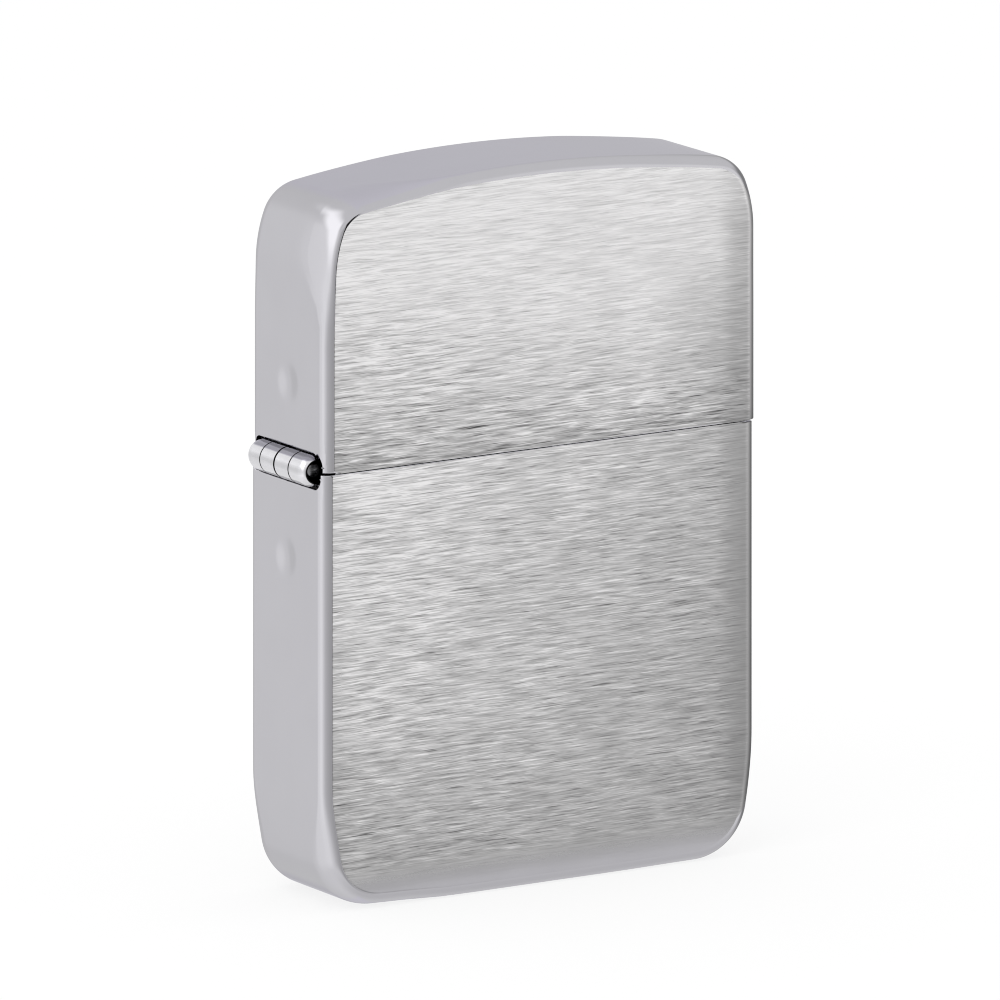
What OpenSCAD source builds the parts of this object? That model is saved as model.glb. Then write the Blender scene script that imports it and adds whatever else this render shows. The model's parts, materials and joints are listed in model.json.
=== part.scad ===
// Flip-top windproof pocket lighter, built as the real one is: a drawn metal
// case and hinged lid around a lift-out insert that holds wick, flint and fuel.
//
// Frame: +Z up, X across the width (hinge on the -X side), Y through the
// thickness (front face at -Y). Origin at the centre of the flat bottom face
// of the case. Millimetres and degrees.
//
// Name endings: _r radius, _d diameter, _w width, _t thickness, _h height,
// _len length, _x and _z place, _a angle, _up height above a base.

/* [Case and lid] */
// Width of the case across its flat faces
case_w = 38; // [37.808:0.048:38.192]
// Thickness of the case, front to back
case_t = 12.7; // [12.6:0.1:13]
// Height of the closed lighter
case_h = 57; // [56.5:0.25:58.5]
// Height of the seam between case and lid
seam_z = 34.5; // [34.2:0.1:34.8]
// Gap left at the seam between the two drawn shells
seam_gap = 0.1; // [0.06:0.02:0.2]
// Wall thickness of the drawn shells
wall = 0.65; // [0.55:0.05:0.7]
// Rounding of the long edges between the faces and the side band
edge_r = 0.9; // [0.9:0.05:1.3]
// Radius of the bottom corners of the case
foot_r = 4.655; // [4.455:0.05:4.855]
// How far the bottom corners pull in before they turn, as a large easing radius
foot_ease = 0.416; // [0.4:0.008:0.432]
// Small radius at the corners of the lid
lid_corner_r = 3.36; // [3.312:0.024:3.408]
// Easing of the lid's side into its corner, which sets the larger side radius
lid_ease = 0.0605; // [0.0575:0.003:0.0635]
// Sideways offset of the lid against the case, as assembled
lid_shift = 0.16; // [0:0.02:0.18]

/* [Hinge] */
// Outer radius of the rolled hinge barrel
barrel_r = 1.28; // [1.2:0.02:1.3]
// How far the barrel axis sits inside the outer side face
barrel_in = 0.24; // [0.22:0.01:0.26]
// Height of the barrel axis above the seam
barrel_up = 0.06; // [0:0.02:0.1]
// Radius of the hinge pin
pin_r = 0.6; // [0.55:0.05:0.65]
// Radial running clearance of the lid knuckles on the pin
pin_play = 0.04; // [0.02:0.01:0.08]
// Overall length of the four knuckles
barrel_len = 9.8; // [9.4:0.1:10]
// Thickness of the hinge leaves
leaf_t = 0.45; // [0.35:0.05:0.5]
// Length of each leaf beyond the barrel axis
leaf_len = 10.4; // [9.5:0.1:11]
// Width of the notch cut in both shells for the barrel
notch_w = 11.6; // [11.4:0.1:11.8]
// Distance from the barrel axis to the notch's upper and lower edge
notch_h = 1.5; // [1.46:0.02:1.6]
// Diameter of the shallow spot-weld dimples
weld_d = 3.2; // [2.6:0.1:3.6]
// Depth of the spot-weld dimples
weld_depth = 0.16; // [0.08:0.02:0.2]

/* [Insert] */
// Left side of the insert (hinge side)
insert_left = -17.35; // [-17.4:0.05:-17.2]
// Right side of the insert
insert_right = 17.95; // [17.6:0.05:17.95]
// Thickness of the insert, front to back
insert_t = 11; // [10.8:0.1:11]
// Height of the insert's shoulder above the case floor's underside
shoulder_z = 36.5; // [36.3:0.1:36.8]
// Sheet thickness of the insert
insert_wall = 0.4; // [0.35:0.05:0.45]
// Bottom corner radius of the insert
insert_r = 5.5; // [5.4:0.1:5.8]

/* [Chimney] */
// Left end of the chimney
chimney_left = -9.5; // [-9.6:0.1:-9.3]
// Right end of the chimney
chimney_right = 8; // [7.8:0.1:8.2]
// Thickness of the chimney, front to back
chimney_t = 10.2; // [9.8:0.1:10.3]
// Height of the chimney above the shoulder
chimney_h = 16; // [15:0.25:16.5]
// Diameter of the air holes
air_d = 2.3; // [1.8:0.1:2.6]
// Spacing of the air holes along a row
air_pitch = 5; // [4.2:0.1:5.2]
// Spacing of the rows of air holes
air_row = 3.9; // [3.4:0.1:4]

/* [Spark wheel] */
// X position of the wheel, flint and flint tube
wheel_x = 11.6; // [11.5:0.1:11.7]
// Height of the wheel axle above the shoulder
wheel_up = 5.9; // [5.9:0.1:6.1]
// Outer radius of the wheel
wheel_r = 3.1; // [2.9:0.05:3.1]
// Width of the wheel
wheel_w = 4.6; // [4.2:0.1:4.7]
// Number of thumb teeth round each rim
thumb_teeth = 26; // [18:1:32]
// Number of fine file teeth round the middle
file_teeth = 44; // [30:1:60]
// Radius of the wheel's axle rivet
axle_r = 0.9; // [0.8:0.05:0.95]

/* [Flint column] */
// Radius of the flint
flint_r = 1.2; // [1.15:0.05:1.2]
// Length of the flint
flint_len = 5; // [4:0.25:6]
// Bore radius of the flint tube
tube_bore_r = 1.3; // [1.3:0.01:1.35]
// Outer radius of the flint tube
tube_r = 1.75; // [1.65:0.05:1.8]
// Turns of the flint spring
spring_turns = 16; // [10:1:18]
// Wire radius of the flint spring
spring_wire_r = 0.17; // [0.14:0.01:0.18]

/* [Cam] */
// X position of the cam pivot
cam_x = -13.2; // [-13.3:0.05:-13.1]
// Height of the cam pivot above the shoulder
cam_up = 2.9; // [2.8:0.05:3]
// Radius of the cam's heel
cam_r = 1.9; // [1.85:0.05:1.95]
// Distance of the cam's nose from its pivot
cam_reach = 4.4; // [4.2:0.05:4.4]
// Width of the cam
cam_w = 3.2; // [2.8:0.1:3.2]

/* [Wick and packing] */
// Radius of the wick
wick_r = 1.4; // [1.3:0.05:1.4]
// X position of the wick in the chimney
wick_x = -1; // [-1.1:0.05:-0.9]
// Height of the wick tip above the shoulder
wick_up = 10; // [8:0.5:12]

/* [Hidden] */
$fn = 48;
half_w = case_w / 2;

// Radial clearances
tight_play = 0.01; // rivets and pin in their fixed holes
turn_play = 0.04;  // wheel and cam on their rivets
hole_play = 0.03;  // eyelet and tube in the shoulder

hinge_x = -half_w + barrel_in;
hinge_z = seam_z + barrel_up;
wheel_z = shoulder_z + wheel_up;
cam_z = shoulder_z + cam_up;

// --- Shared shapes ----------------------------------------------------------

// Extrude a shape drawn in X and Z through thickness t, centred on Y = 0
module across(t) rotate([90, 0, 0]) linear_extrude(height = t, center = true) children();

// Cylinder along Y between two places
module y_rod(x, z, r, back, front) translate([x, back, z]) rotate([90, 0, 0])
    cylinder(r = r, h = back - front);

// Cylinder along Y centred on Y = 0, used as a through hole
module through(x, z, r, h) y_rod(x, z, r, h / 2, -h / 2);

// Upright cylinder standing at height z
module post(z, r, h, x = 0) translate([x, 0, z]) cylinder(r = r, h = h);

// Upright cutter for a hole in the insert's shoulder
module shoulder_hole(x, r, h = 2) post(shoulder_z - 1, r, h, x);

// Rounded rectangle in plan
module plan_rect(left, right, t, r) {
    translate([left + r, -t / 2]) square([right - left - 2 * r, t]);
    translate([left, -t / 2 + r]) square([right - left, t - 2 * r]);
    for (x = [left + r, right - r], y = [-t / 2 + r, t / 2 - r])
        translate([x, y]) circle(r = r);
}

// Rivet along Y: a shank reaching +-reach, with a head beyond each end
module cross_rivet(x, z, shank_r, reach, head_r, head_t) translate([x, 0, z]) rotate([90, 0, 0]) {
    cylinder(r = shank_r, h = 2 * (reach + head_t), center = true);
    for (s = [-1, 1]) translate([0, 0, s * (reach + head_t / 2)])
        cylinder(r = head_r, h = head_t, center = true);
}

// --- Case and lid -----------------------------------------------------------

rim_depth = 3;       // depth of the rounded side band
case_core_in = 2.6;  // the flat core overlaps the band from this depth inwards
lid_core_in = 2.3;
case_notch_r = 0.15; // corners of the barrel notches
lid_notch_r = 0.9;
notch_in = 0.4;      // reach of the notch beyond the wall
case_weld_drop = 7.4; // dimples below and above the hinge axis
lid_weld_up = 6.3;

// Where two arcs meet, the line through their centres has the direction of a
// whole-number right triangle: [along X, along Z, hypotenuse]
LID_TURN = [117, 44, 125];  // lid side arc to corner arc
DOME_TURN = [24, 143, 145]; // dome to corner arc
FOOT_TURN = [84, -13, 85];  // case side arc to bottom corner arc

// Lid outline: straight side, side arc, corner arc, then the dome
lid_a = atan2(LID_TURN[1], LID_TURN[0]);
dome_a = atan2(DOME_TURN[1], DOME_TURN[0]);
lid_side_r = lid_corner_r + LID_TURN[2] * lid_ease;
lid_side_x = half_w - lid_side_r;
lid_corner_x = lid_side_x + LID_TURN[0] * lid_ease;
dome_scale = lid_corner_x / DOME_TURN[0];
dome_r = lid_corner_r + DOME_TURN[2] * dome_scale;
dome_z = case_h - dome_r;
lid_corner_z = dome_z + DOME_TURN[1] * dome_scale;
lid_side_z = lid_corner_z - LID_TURN[1] * lid_ease;

// Case outline: straight side, large easing arc, bottom corner arc, flat base
foot_a = atan2(FOOT_TURN[1], FOOT_TURN[0]);
case_side_r = foot_r + FOOT_TURN[2] * foot_ease;
case_side_x = half_w - case_side_r;
case_side_z = foot_r - FOOT_TURN[1] * foot_ease;
foot_x = case_side_x + FOOT_TURN[0] * foot_ease;

function on_arc(x, z, r, a) = [x + r * cos(a), z + r * sin(a)];

// n points on an arc from angle a0, left out, to a1
function arc_points(x, z, r, a0, a1, n) = [for (k = [1:n]) on_arc(x, z, r, a0 + (a1 - a0) * k / n)];

// Points followed by their mirror images in X, from index last back to 0
function with_mirror(points, last) =
    concat(points, [for (k = [last:-1:0]) [-points[k].x, points[k].y]]);

module both_sides() for (m = [0, 1]) mirror([m, 0, 0]) children();

// Section of the side band, outer face at 0, with the form shrunk by inset
module rim(inset) {
    depth = rim_depth - inset;
    t = case_t - 2 * inset;
    r = edge_r - inset;
    translate([-depth, -t / 2 + r]) square([depth, t - 2 * r]);
    translate([-depth, -t / 2]) square([depth - r, t]);
    for (s = [-1, 1]) translate([-r, s * (t / 2 - r)]) circle(r = r);
}

// Band swept right round a centre in the X-Z plane; r is its unshrunk radius
module rim_ring(x, z, r, inset, segments) translate([x, 0, z]) rotate([90, 0, 0])
    rotate_extrude($fn = segments) translate([r - inset, 0]) rim(inset);

// Half space on one side (1 or -1) of the line through (x, z) at angle a
module half_space(x, z, a, side) translate([x, 0, z]) rotate([0, -a, 0])
    translate([-200, -20, side > 0 ? 0 : -200]) cube([400, 40, 200]);

// Solid form of the case, shrunk by inset, up to height top
module case_form(inset, top) {
    core_x = half_w - case_core_in;
    core = [
        [foot_x, case_core_in],
        on_arc(foot_x, foot_r, foot_r - case_core_in, -45),
        on_arc(case_side_x, case_side_z, case_side_r - case_core_in, foot_a),
        [core_x, case_side_z],
        [core_x, top]];
    both_sides() {
        translate([half_w - inset, 0, case_side_z])
            linear_extrude(height = top - case_side_z) rim(inset);
        intersection() {
            rim_ring(case_side_x, case_side_z, case_side_r, inset, 180);
            half_space(case_side_x, case_side_z, 0, -1);
            half_space(foot_x, foot_r, foot_a, 1);
        }
        intersection() {
            rim_ring(foot_x, foot_r, foot_r, inset, 96);
            half_space(foot_x, foot_r, foot_a, -1);
            half_space(foot_x, foot_r, 90, -1);
        }
    }
    translate([-foot_x, 0, inset]) rotate([0, 90, 0]) linear_extrude(height = 2 * foot_x) rim(inset);
    across(case_t - 2 * inset) polygon(with_mirror(core, len(core) - 1));
}

// Solid form of the lid, shrunk by inset, above height bottom
module lid_form(inset, bottom) {
    core_x = half_w - lid_core_in;
    core = concat(
        [[core_x, bottom], [core_x, lid_side_z]],
        arc_points(lid_side_x, lid_side_z, lid_side_r - lid_core_in, 0, lid_a, 2),
        arc_points(lid_corner_x, lid_corner_z, lid_corner_r - lid_core_in, lid_a, dome_a, 2),
        arc_points(0, dome_z, dome_r - lid_core_in, dome_a, 90, 3));
    both_sides() {
        translate([half_w - inset, 0, bottom])
            linear_extrude(height = lid_side_z - bottom) rim(inset);
        intersection() {
            rim_ring(lid_side_x, lid_side_z, lid_side_r, inset, 96);
            half_space(lid_side_x, lid_side_z, 0, 1);
            half_space(lid_corner_x, lid_corner_z, lid_a, -1);
        }
        intersection() {
            rim_ring(lid_corner_x, lid_corner_z, lid_corner_r, inset, 96);
            half_space(lid_corner_x, lid_corner_z, lid_a, 1);
            half_space(lid_corner_x, lid_corner_z, dome_a, -1);
        }
    }
    intersection() {
        rim_ring(0, dome_z, dome_r, inset, 360);
        half_space(lid_corner_x, lid_corner_z, dome_a, 1);
        mirror([1, 0, 0]) half_space(lid_corner_x, lid_corner_z, dome_a, 1);
    }
    // the last core point lies on the centre line, so it isn't mirrored
    across(case_t - 2 * inset) polygon(with_mirror(core, len(core) - 2));
}

// Cutter for the barrel, from height near to far, corners of radius r at far
module notch(near, far, r) {
    centre_z = far - sign(far - near) * r;
    translate([-half_w - 1, 0, 0]) rotate([90, 0, 90]) linear_extrude(height = 1 + wall + notch_in) {
        translate([-notch_w / 2, min(near, centre_z)]) square([notch_w, abs(centre_z - near)]);
        translate([-notch_w / 2 + r, min(near, far)]) square([notch_w - 2 * r, abs(far - near)]);
        for (s = [-1, 1]) translate([s * (notch_w / 2 - r), centre_z]) circle(r = r);
    }
}

// Shallow spherical dimple in the hinge-side wall
module weld_dimple(z) {
    ball_r = (pow(weld_d / 2, 2) + weld_depth * weld_depth) / (2 * weld_depth);
    translate([-half_w - ball_r + weld_depth, 0, z]) sphere(r = ball_r, $fn = 96);
}

module case_body() color("silver") difference() {
    case_form(0, seam_z - seam_gap / 2);
    case_form(wall, seam_z + 1);
    notch(seam_z + 1, hinge_z - notch_h, case_notch_r);
    weld_dimple(hinge_z - case_weld_drop);
}

module lid() color("silver") translate([lid_shift, 0, 0]) difference() {
    lid_form(0, seam_z + seam_gap / 2);
    lid_form(wall, seam_z - 1);
    notch(seam_z - 1, hinge_z + notch_h, lid_notch_r);
    weld_dimple(hinge_z + lid_weld_up);
}

// --- Hinge ------------------------------------------------------------------

knuckle = barrel_len / 4;
knuckle_in = 0.03; // knuckle ends at the quarter lines
middle_in = 0.06;  // knuckle ends at the middle
leaf_gap = 0.16;   // from the barrel to the full-width plate
leaf_corner_r = 1;
tab_near = 0.86;   // tabs that join plate and knuckles, from the barrel axis
tab_far = 2;
pin_back_in = 0.1; // pin ends inside the barrel ends
pin_front_in = 0.2;

// Leaf going up (side = 1) or down (side = -1) from the barrel, inner ends of
// its knuckles given as spans [front, back] in Y
module leaf(side, x, spans, bore_r) {
    plate_near = barrel_r + leaf_gap;
    corner_far = leaf_len - leaf_corner_r;
    module strip(y, w, near, far)
        translate([y, min(hinge_z + side * near, hinge_z + side * far)]) square([w, far - near]);
    difference() {
        union() {
            translate([x, 0, 0]) rotate([90, 0, 90]) linear_extrude(height = leaf_t) {
                strip(-barrel_len / 2, barrel_len, plate_near, corner_far);
                strip(-barrel_len / 2 + leaf_corner_r, barrel_len - 2 * leaf_corner_r,
                    plate_near, leaf_len);
                for (s = [-1, 1])
                    translate([s * (barrel_len / 2 - leaf_corner_r), hinge_z + side * corner_far])
                        circle(r = leaf_corner_r);
                for (k = spans) strip(k[0], k[1] - k[0], tab_near, tab_far);
            }
            for (k = spans) y_rod(hinge_x, hinge_z, barrel_r, k[1], k[0]);
        }
        through(hinge_x, hinge_z, bore_r, 12);
    }
}

// Front knuckle and the third from the front are rolled from the case leaf
module hinge_leaf_body() color("lightgray") leaf(-1, -half_w + wall,
    [[-2 * knuckle, -knuckle - knuckle_in], [middle_in, knuckle - knuckle_in]],
    pin_r + tight_play);

// The other two are rolled from the lid leaf
module hinge_leaf_lid() color("lightgray") leaf(1, -half_w + wall + lid_shift,
    [[-knuckle + knuckle_in, -middle_in], [knuckle + knuckle_in, 2 * knuckle]],
    pin_r + pin_play);

module hinge_pin() color("dimgray")
    y_rod(hinge_x, hinge_z, pin_r, barrel_len / 2 - pin_back_in, pin_front_in - barrel_len / 2);

// --- Insert and chimney -----------------------------------------------------

insert_z = wall + 0.2; // underside of the insert
insert_corner_z = insert_z + insert_r;
insert_edge_r = 1.3;
eyelet_wall = 0.55;
spring_rivet_x = -6.8;
spring_rivet_r = 0.49;

// Sheet of the chimney and its ears
chimney_wall = 0.4;
chimney_edge_r = 3;
wheel_ear_y = 2.5; // inner faces of the ears, from the middle
wheel_ear_r = 2.3;
cam_ear_y = 1.75;
cam_ear_r = 1.5;
cam_rivet_r = 0.6;
spring_slot_w = 2.8;

// Side outline of the insert shrunk by inset; drop extends its open bottom
module insert_outline(inset, top, drop) {
    translate([insert_left + insert_r, insert_z + inset - drop])
        square([insert_right - insert_left - 2 * insert_r, insert_r - inset + drop + 0.5]);
    translate([insert_left + inset, insert_corner_z])
        square([insert_right - insert_left - 2 * inset, top - insert_corner_z]);
    for (x = [insert_left + insert_r, insert_right - insert_r])
        translate([x, insert_corner_z]) circle(r = insert_r - inset, $fn = 96);
}

// Solid form of the insert; base is the height where its plan shape starts
module insert_form(inset, drop, base) intersection() {
    across(insert_t) insert_outline(inset, shoulder_z - inset, drop);
    translate([0, 0, base]) linear_extrude(height = shoulder_z + 2)
        plan_rect(insert_left + inset, insert_right - inset, insert_t - 2 * inset,
            insert_edge_r - inset);
}

module insert_case() color("gainsboro") difference() {
    insert_form(0, 0, -1);
    insert_form(insert_wall, 2, -2);
    shoulder_hole(wick_x, wick_r + eyelet_wall + hole_play);
    shoulder_hole(wheel_x, tube_r + hole_play);
    shoulder_hole(spring_rivet_x, spring_rivet_r + tight_play);
}

// Pair of ears from the chimney end at root_x out to a pivot, rounded r about it
module ears(root_x, pivot_x, up, r, inner_y) {
    span = abs(pivot_x - root_x);
    tip_x = pivot_x + sign(pivot_x - root_x) * r;
    for (s = [-1, 1]) translate([0, s * (inner_y + chimney_wall / 2), 0]) across(chimney_wall) {
        translate([min(root_x, tip_x), shoulder_z]) square([span + r, up]);
        translate([min(root_x, pivot_x), shoulder_z]) square([span, up + r]);
        translate([pivot_x, shoulder_z + up]) circle(r = r);
    }
}

// Perforated wind screen, open at the wheel end, in one piece with the ears
module chimney() color("gainsboro") difference() {
    union() {
        translate([0, 0, shoulder_z]) linear_extrude(height = chimney_h) difference() {
            plan_rect(chimney_left, chimney_right, chimney_t, chimney_edge_r);
            plan_rect(chimney_left + chimney_wall, chimney_right - chimney_wall,
                chimney_t - 2 * chimney_wall, chimney_edge_r - chimney_wall);
            translate([chimney_right - 1, -wheel_ear_y]) square([2, 2 * wheel_ear_y]);
        }
        ears(chimney_right - chimney_wall, wheel_x, wheel_up, wheel_ear_r, wheel_ear_y);
        ears(chimney_left + chimney_wall, cam_x, cam_up, cam_ear_r, cam_ear_y);
    }
    // air holes, three over two over three on each side
    for (row = [-1:1], k = (row == 0 ? [-0.5, 0.5] : [-1, 0, 1]))
        through((chimney_left + chimney_right) / 2 + k * air_pitch,
            shoulder_z + chimney_h / 2 + row * air_row, air_d / 2, 20);
    through(wheel_x, wheel_z, axle_r + tight_play, 10);
    through(cam_x, cam_z, cam_rivet_r + tight_play, 10);
    // slot where the cam spring passes through the end wall
    translate([chimney_left - 0.5, -spring_slot_w / 2, shoulder_z - 1])
        cube([chimney_wall + 1, spring_slot_w, 2.5]);
}

// --- Spark wheel ------------------------------------------------------------

// Shares of the wheel's width
file_share = 0.54;
thumb_share = 0.23; // each rim
file_tooth = 0.14;  // tooth depths
thumb_tooth = 0.34;
file_recess = 0.14; // file band below the rims

// Disc with n teeth of the given depth
module saw_disc(n, r, depth) polygon([for (k = [0:2 * n - 1])
    on_arc(0, 0, k % 2 == 0 ? r : r - depth, 180 * k / n)]);

module flint_wheel() color("dimgray") translate([wheel_x, 0, wheel_z]) rotate([90, 0, 0]) difference() {
    union() {
        linear_extrude(height = wheel_w * file_share, center = true)
            saw_disc(file_teeth, wheel_r - file_recess, file_tooth);
        for (s = [-1, 1]) translate([0, 0, s * wheel_w * (file_share + thumb_share) / 2])
            linear_extrude(height = wheel_w * thumb_share, center = true)
                saw_disc(thumb_teeth, wheel_r, thumb_tooth);
    }
    cylinder(r = axle_r + turn_play, h = 10, center = true);
}

module wheel_rivet() color("silver")
    cross_rivet(wheel_x, wheel_z, axle_r, wheel_ear_y + chimney_wall, head_r = 1.45, head_t = 0.45);

// --- Cam and its spring -----------------------------------------------------

cam_nose_a = 140;
cam_nose_r = 0.8;
cam_root = 1.6;     // half width of the arm at the pivot
cam_flat = 1.65;    // distance of the flats from the pivot
cam_flat_a = -49.4; // turn of the second flat
cam_spring_w = 2.4;
cam_spring_t = 0.3;
cam_spring_gap = 0.02;

// Cutter for a flat below the pivot
module cam_flat_cut(left, w) translate([left, -cam_r - 1]) square([w, cam_r + 1 - cam_flat]);

module cam() color("silver") difference() {
    translate([cam_x, 0, cam_z]) across(cam_w) difference() {
        union() {
            circle(r = cam_r);
            rotate(cam_nose_a) {
                translate([cam_reach, 0]) circle(r = cam_nose_r);
                polygon([[0, -cam_root], [cam_reach, -cam_nose_r],
                    [cam_reach, cam_nose_r], [0, cam_root]]);
            }
        }
        // two flats on the heel, one for each resting place of the lid
        cam_flat_cut(-3, 6);
        rotate(cam_flat_a) cam_flat_cut(-1.2, 4);
    }
    through(cam_x, cam_z, cam_rivet_r + turn_play, 10);
}

module cam_rivet() color("silver")
    cross_rivet(cam_x, cam_z, cam_rivet_r, cam_ear_y + chimney_wall, head_r = 1, head_t = 0.35);

// Leaf spring: riveted flat on the shoulder inside the chimney, rising to
// bear on the underside of the cam
module cam_spring() color("lightsteelblue") difference() {
    crest = cam_up - cam_flat - cam_spring_gap;
    under = crest - cam_spring_t;
    // x, height above the shoulder: out along the underside, back along the top
    translate([0, 0, shoulder_z]) across(cam_spring_w) polygon([
        [-5.4, 0], [-8.4, 0], [-11.6, under], [-14.9, under], [-15.2, crest - 0.45],
        [-15.4, crest - 0.2], [-14.9, crest], [-11.5, crest],
        [-8.3, cam_spring_t], [-5.4, cam_spring_t]]);
    shoulder_hole(spring_rivet_x, spring_rivet_r + tight_play, 3);
}

module cam_spring_rivet() color("silver") translate([spring_rivet_x, 0, 0]) {
    foot_t = 0.4;
    shank_up = 0.7;
    foot_z = shoulder_z - insert_wall - foot_t;
    post(foot_z, spring_rivet_r, foot_t + insert_wall + shank_up);
    post(shoulder_z + cam_spring_t, r = 1, h = 0.45);
    post(foot_z, r = 0.8, h = foot_t);
}

// --- Wick -------------------------------------------------------------------

bend_r = 4; // quarter turn below the chimney
bend_z = 26;
loop_r = 5; // half turn on the hinge side
loop_x = wick_x - 9.2;
loop_z = bend_z - bend_r - loop_r;
wick_tail = 13;

// Turn of the wick about a centre, between two angles
module wick_turn(x, z, r, a0, a1) translate([x, 0, z]) rotate([90, 0, 0])
    rotate_extrude(angle = a1 - a0, start = a0, $fn = 64) translate([r, 0]) circle(r = wick_r);

// Level length of the wick from the loop towards +X
module wick_run(z, length) translate([loop_x, 0, z]) rotate([0, 90, 0])
    cylinder(r = wick_r, h = length);

module wick() color("antiquewhite") {
    post(bend_z, wick_r, shoulder_z + wick_up - bend_z, wick_x);
    wick_turn(wick_x - bend_r, bend_z, bend_r, -90, 0);
    wick_run(loop_z + loop_r, wick_x - bend_r - loop_x);
    wick_turn(loop_x, loop_z, loop_r, 90, 270);
    wick_run(loop_z - loop_r, wick_tail);
}

module wick_eyelet() color("goldenrod") translate([wick_x, 0, 0]) difference() {
    union() {
        post(shoulder_z - insert_wall - 0.7, wick_r + eyelet_wall, insert_wall + 1);
        post(shoulder_z, wick_r + 1.2, 0.35);
    }
    post(shoulder_z - 3, wick_r + 0.1, 6);
}

// --- Flint column, stacked from the wheel down ------------------------------

stack_gap = 0.02;
seat_gap = 0.05; // above the screw's head and its tip
flint_z = wheel_z - wheel_r - 0.06 - flint_len;
plunger_len = 3;
plunger_z = flint_z - stack_gap - plunger_len;
stem_len = 2;
screw_z = 1.6;
screw_head_t = 1.8;
screw_tip = 8;
slot_w = 0.7;
slot_depth = 0.8;
tube_z = screw_z + screw_head_t + seat_gap;
tube_up = 2.1; // above the shoulder
spring_z = screw_tip + seat_gap;
spring_len = plunger_z - stack_gap - spring_z;
coil_r = 0.92;

module flint_tube() color("darkgoldenrod") translate([wheel_x, 0, 0]) difference() {
    union() {
        post(tube_z, tube_r, shoulder_z + tube_up - tube_z);
        post(shoulder_z, tube_r + 0.5, 0.3);
    }
    post(tube_z - 1, tube_bore_r, 60);
}

module flint() color("dimgray") post(flint_z, flint_r, flint_len, wheel_x);

// Brass tip between spring and flint: a head and a stem that centres the coil
module flint_plunger() color("goldenrod") translate([wheel_x, 0, 0]) {
    post(plunger_z, r = 1.1, h = plunger_len);
    post(plunger_z - stem_len, r = 0.55, h = stem_len + 0.2);
}

// Section of the coil cut level: a round wire met by the helix
module flint_spring() color("silver") translate([wheel_x, 0, spring_z])
    linear_extrude(height = spring_len, twist = -360 * spring_turns, slices = 12 * spring_turns, $fn = 10)
        polygon([for (k = [0:9])
            let (a = 36 * k, pitch = spring_len / spring_turns)
            on_arc(0, 0, coil_r + spring_wire_r * cos(a), -360 * spring_wire_r * sin(a) / pitch)]);

module flint_screw() color("goldenrod") translate([wheel_x, 0, 0]) difference() {
    union() {
        post(screw_z, r = 2.2, h = screw_head_t);
        post(screw_z, tube_bore_r - 0.04, screw_tip - screw_z);
    }
    translate([-3, -slot_w / 2, screw_z - 1]) cube([6, slot_w, 1 + slot_depth]);
}

// --- Packing ----------------------------------------------------------------

fork_r = 2.6;
wad_t = 9.6;
wad_edge_r = 1.4;

// x, z, radius of each wad
WADS = [[-9.8, 30.4, 5.1], [5.1, 30.5, 4.4], [-7.4, 17, 3.2], [4, 20.1, 5], [-3, 7.5, 3]];

// Felt pad closing the bottom, forked round the head of the flint screw
module felt_pad() color("whitesmoke") translate([0, 0, 1.7]) linear_extrude(height = 2.5) difference() {
    plan_rect(left = -13.8, right = 14.2, t = 9.8, r = 0.9);
    translate([wheel_x, 0]) circle(r = fork_r);
    translate([wheel_x, -fork_r]) square([5, 2 * fork_r]);
}

// A wad of cotton packed between the faces of the tank
module wad(x, z, r) translate([x, 0, z]) rotate([90, 0, 0]) rotate_extrude($fn = 64) {
    side = wad_t / 2 - wad_edge_r;
    translate([0, -wad_t / 2]) square([r - wad_edge_r, wad_t]);
    translate([0, -side]) square([r, 2 * side]);
    for (s = [-1, 1]) translate([r - wad_edge_r, s * side]) circle(r = wad_edge_r);
}

module cotton_wads() color("white") for (w = WADS) wad(w[0], w[1], w[2]);

case_body();
lid();
hinge_leaf_body();
hinge_leaf_lid();
hinge_pin();
insert_case();
chimney();
flint_wheel();
wheel_rivet();
cam();
cam_rivet();
cam_spring();
cam_spring_rivet();
wick();
wick_eyelet();
flint_tube();
flint();
flint_plunger();
flint_spring();
flint_screw();
felt_pad();
cotton_wads();
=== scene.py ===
import json
import math

import bmesh
import bpy
from mathutils import Matrix, Vector, noise

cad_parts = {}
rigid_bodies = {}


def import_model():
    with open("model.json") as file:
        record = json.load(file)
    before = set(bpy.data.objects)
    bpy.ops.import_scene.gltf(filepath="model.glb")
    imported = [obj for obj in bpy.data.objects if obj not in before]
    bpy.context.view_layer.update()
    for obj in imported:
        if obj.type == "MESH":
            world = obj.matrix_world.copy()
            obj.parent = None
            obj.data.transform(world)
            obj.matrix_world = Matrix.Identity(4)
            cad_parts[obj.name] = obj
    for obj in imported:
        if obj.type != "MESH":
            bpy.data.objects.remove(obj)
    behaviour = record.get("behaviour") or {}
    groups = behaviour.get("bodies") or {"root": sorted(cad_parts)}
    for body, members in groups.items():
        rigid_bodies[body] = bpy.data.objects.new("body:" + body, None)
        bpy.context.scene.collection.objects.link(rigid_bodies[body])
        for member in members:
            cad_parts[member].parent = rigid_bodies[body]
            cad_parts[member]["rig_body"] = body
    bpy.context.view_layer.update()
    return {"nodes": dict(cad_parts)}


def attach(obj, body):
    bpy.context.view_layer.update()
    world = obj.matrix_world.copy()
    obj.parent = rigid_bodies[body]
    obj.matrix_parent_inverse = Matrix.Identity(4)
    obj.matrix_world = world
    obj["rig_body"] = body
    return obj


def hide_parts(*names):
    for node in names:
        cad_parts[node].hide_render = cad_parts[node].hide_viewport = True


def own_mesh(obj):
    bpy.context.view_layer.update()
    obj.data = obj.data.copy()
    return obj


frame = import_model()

MM = 0.001
NODES = frame["nodes"]

# ---------------------------------------------------------------------------
# Material helpers
# ---------------------------------------------------------------------------


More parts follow.
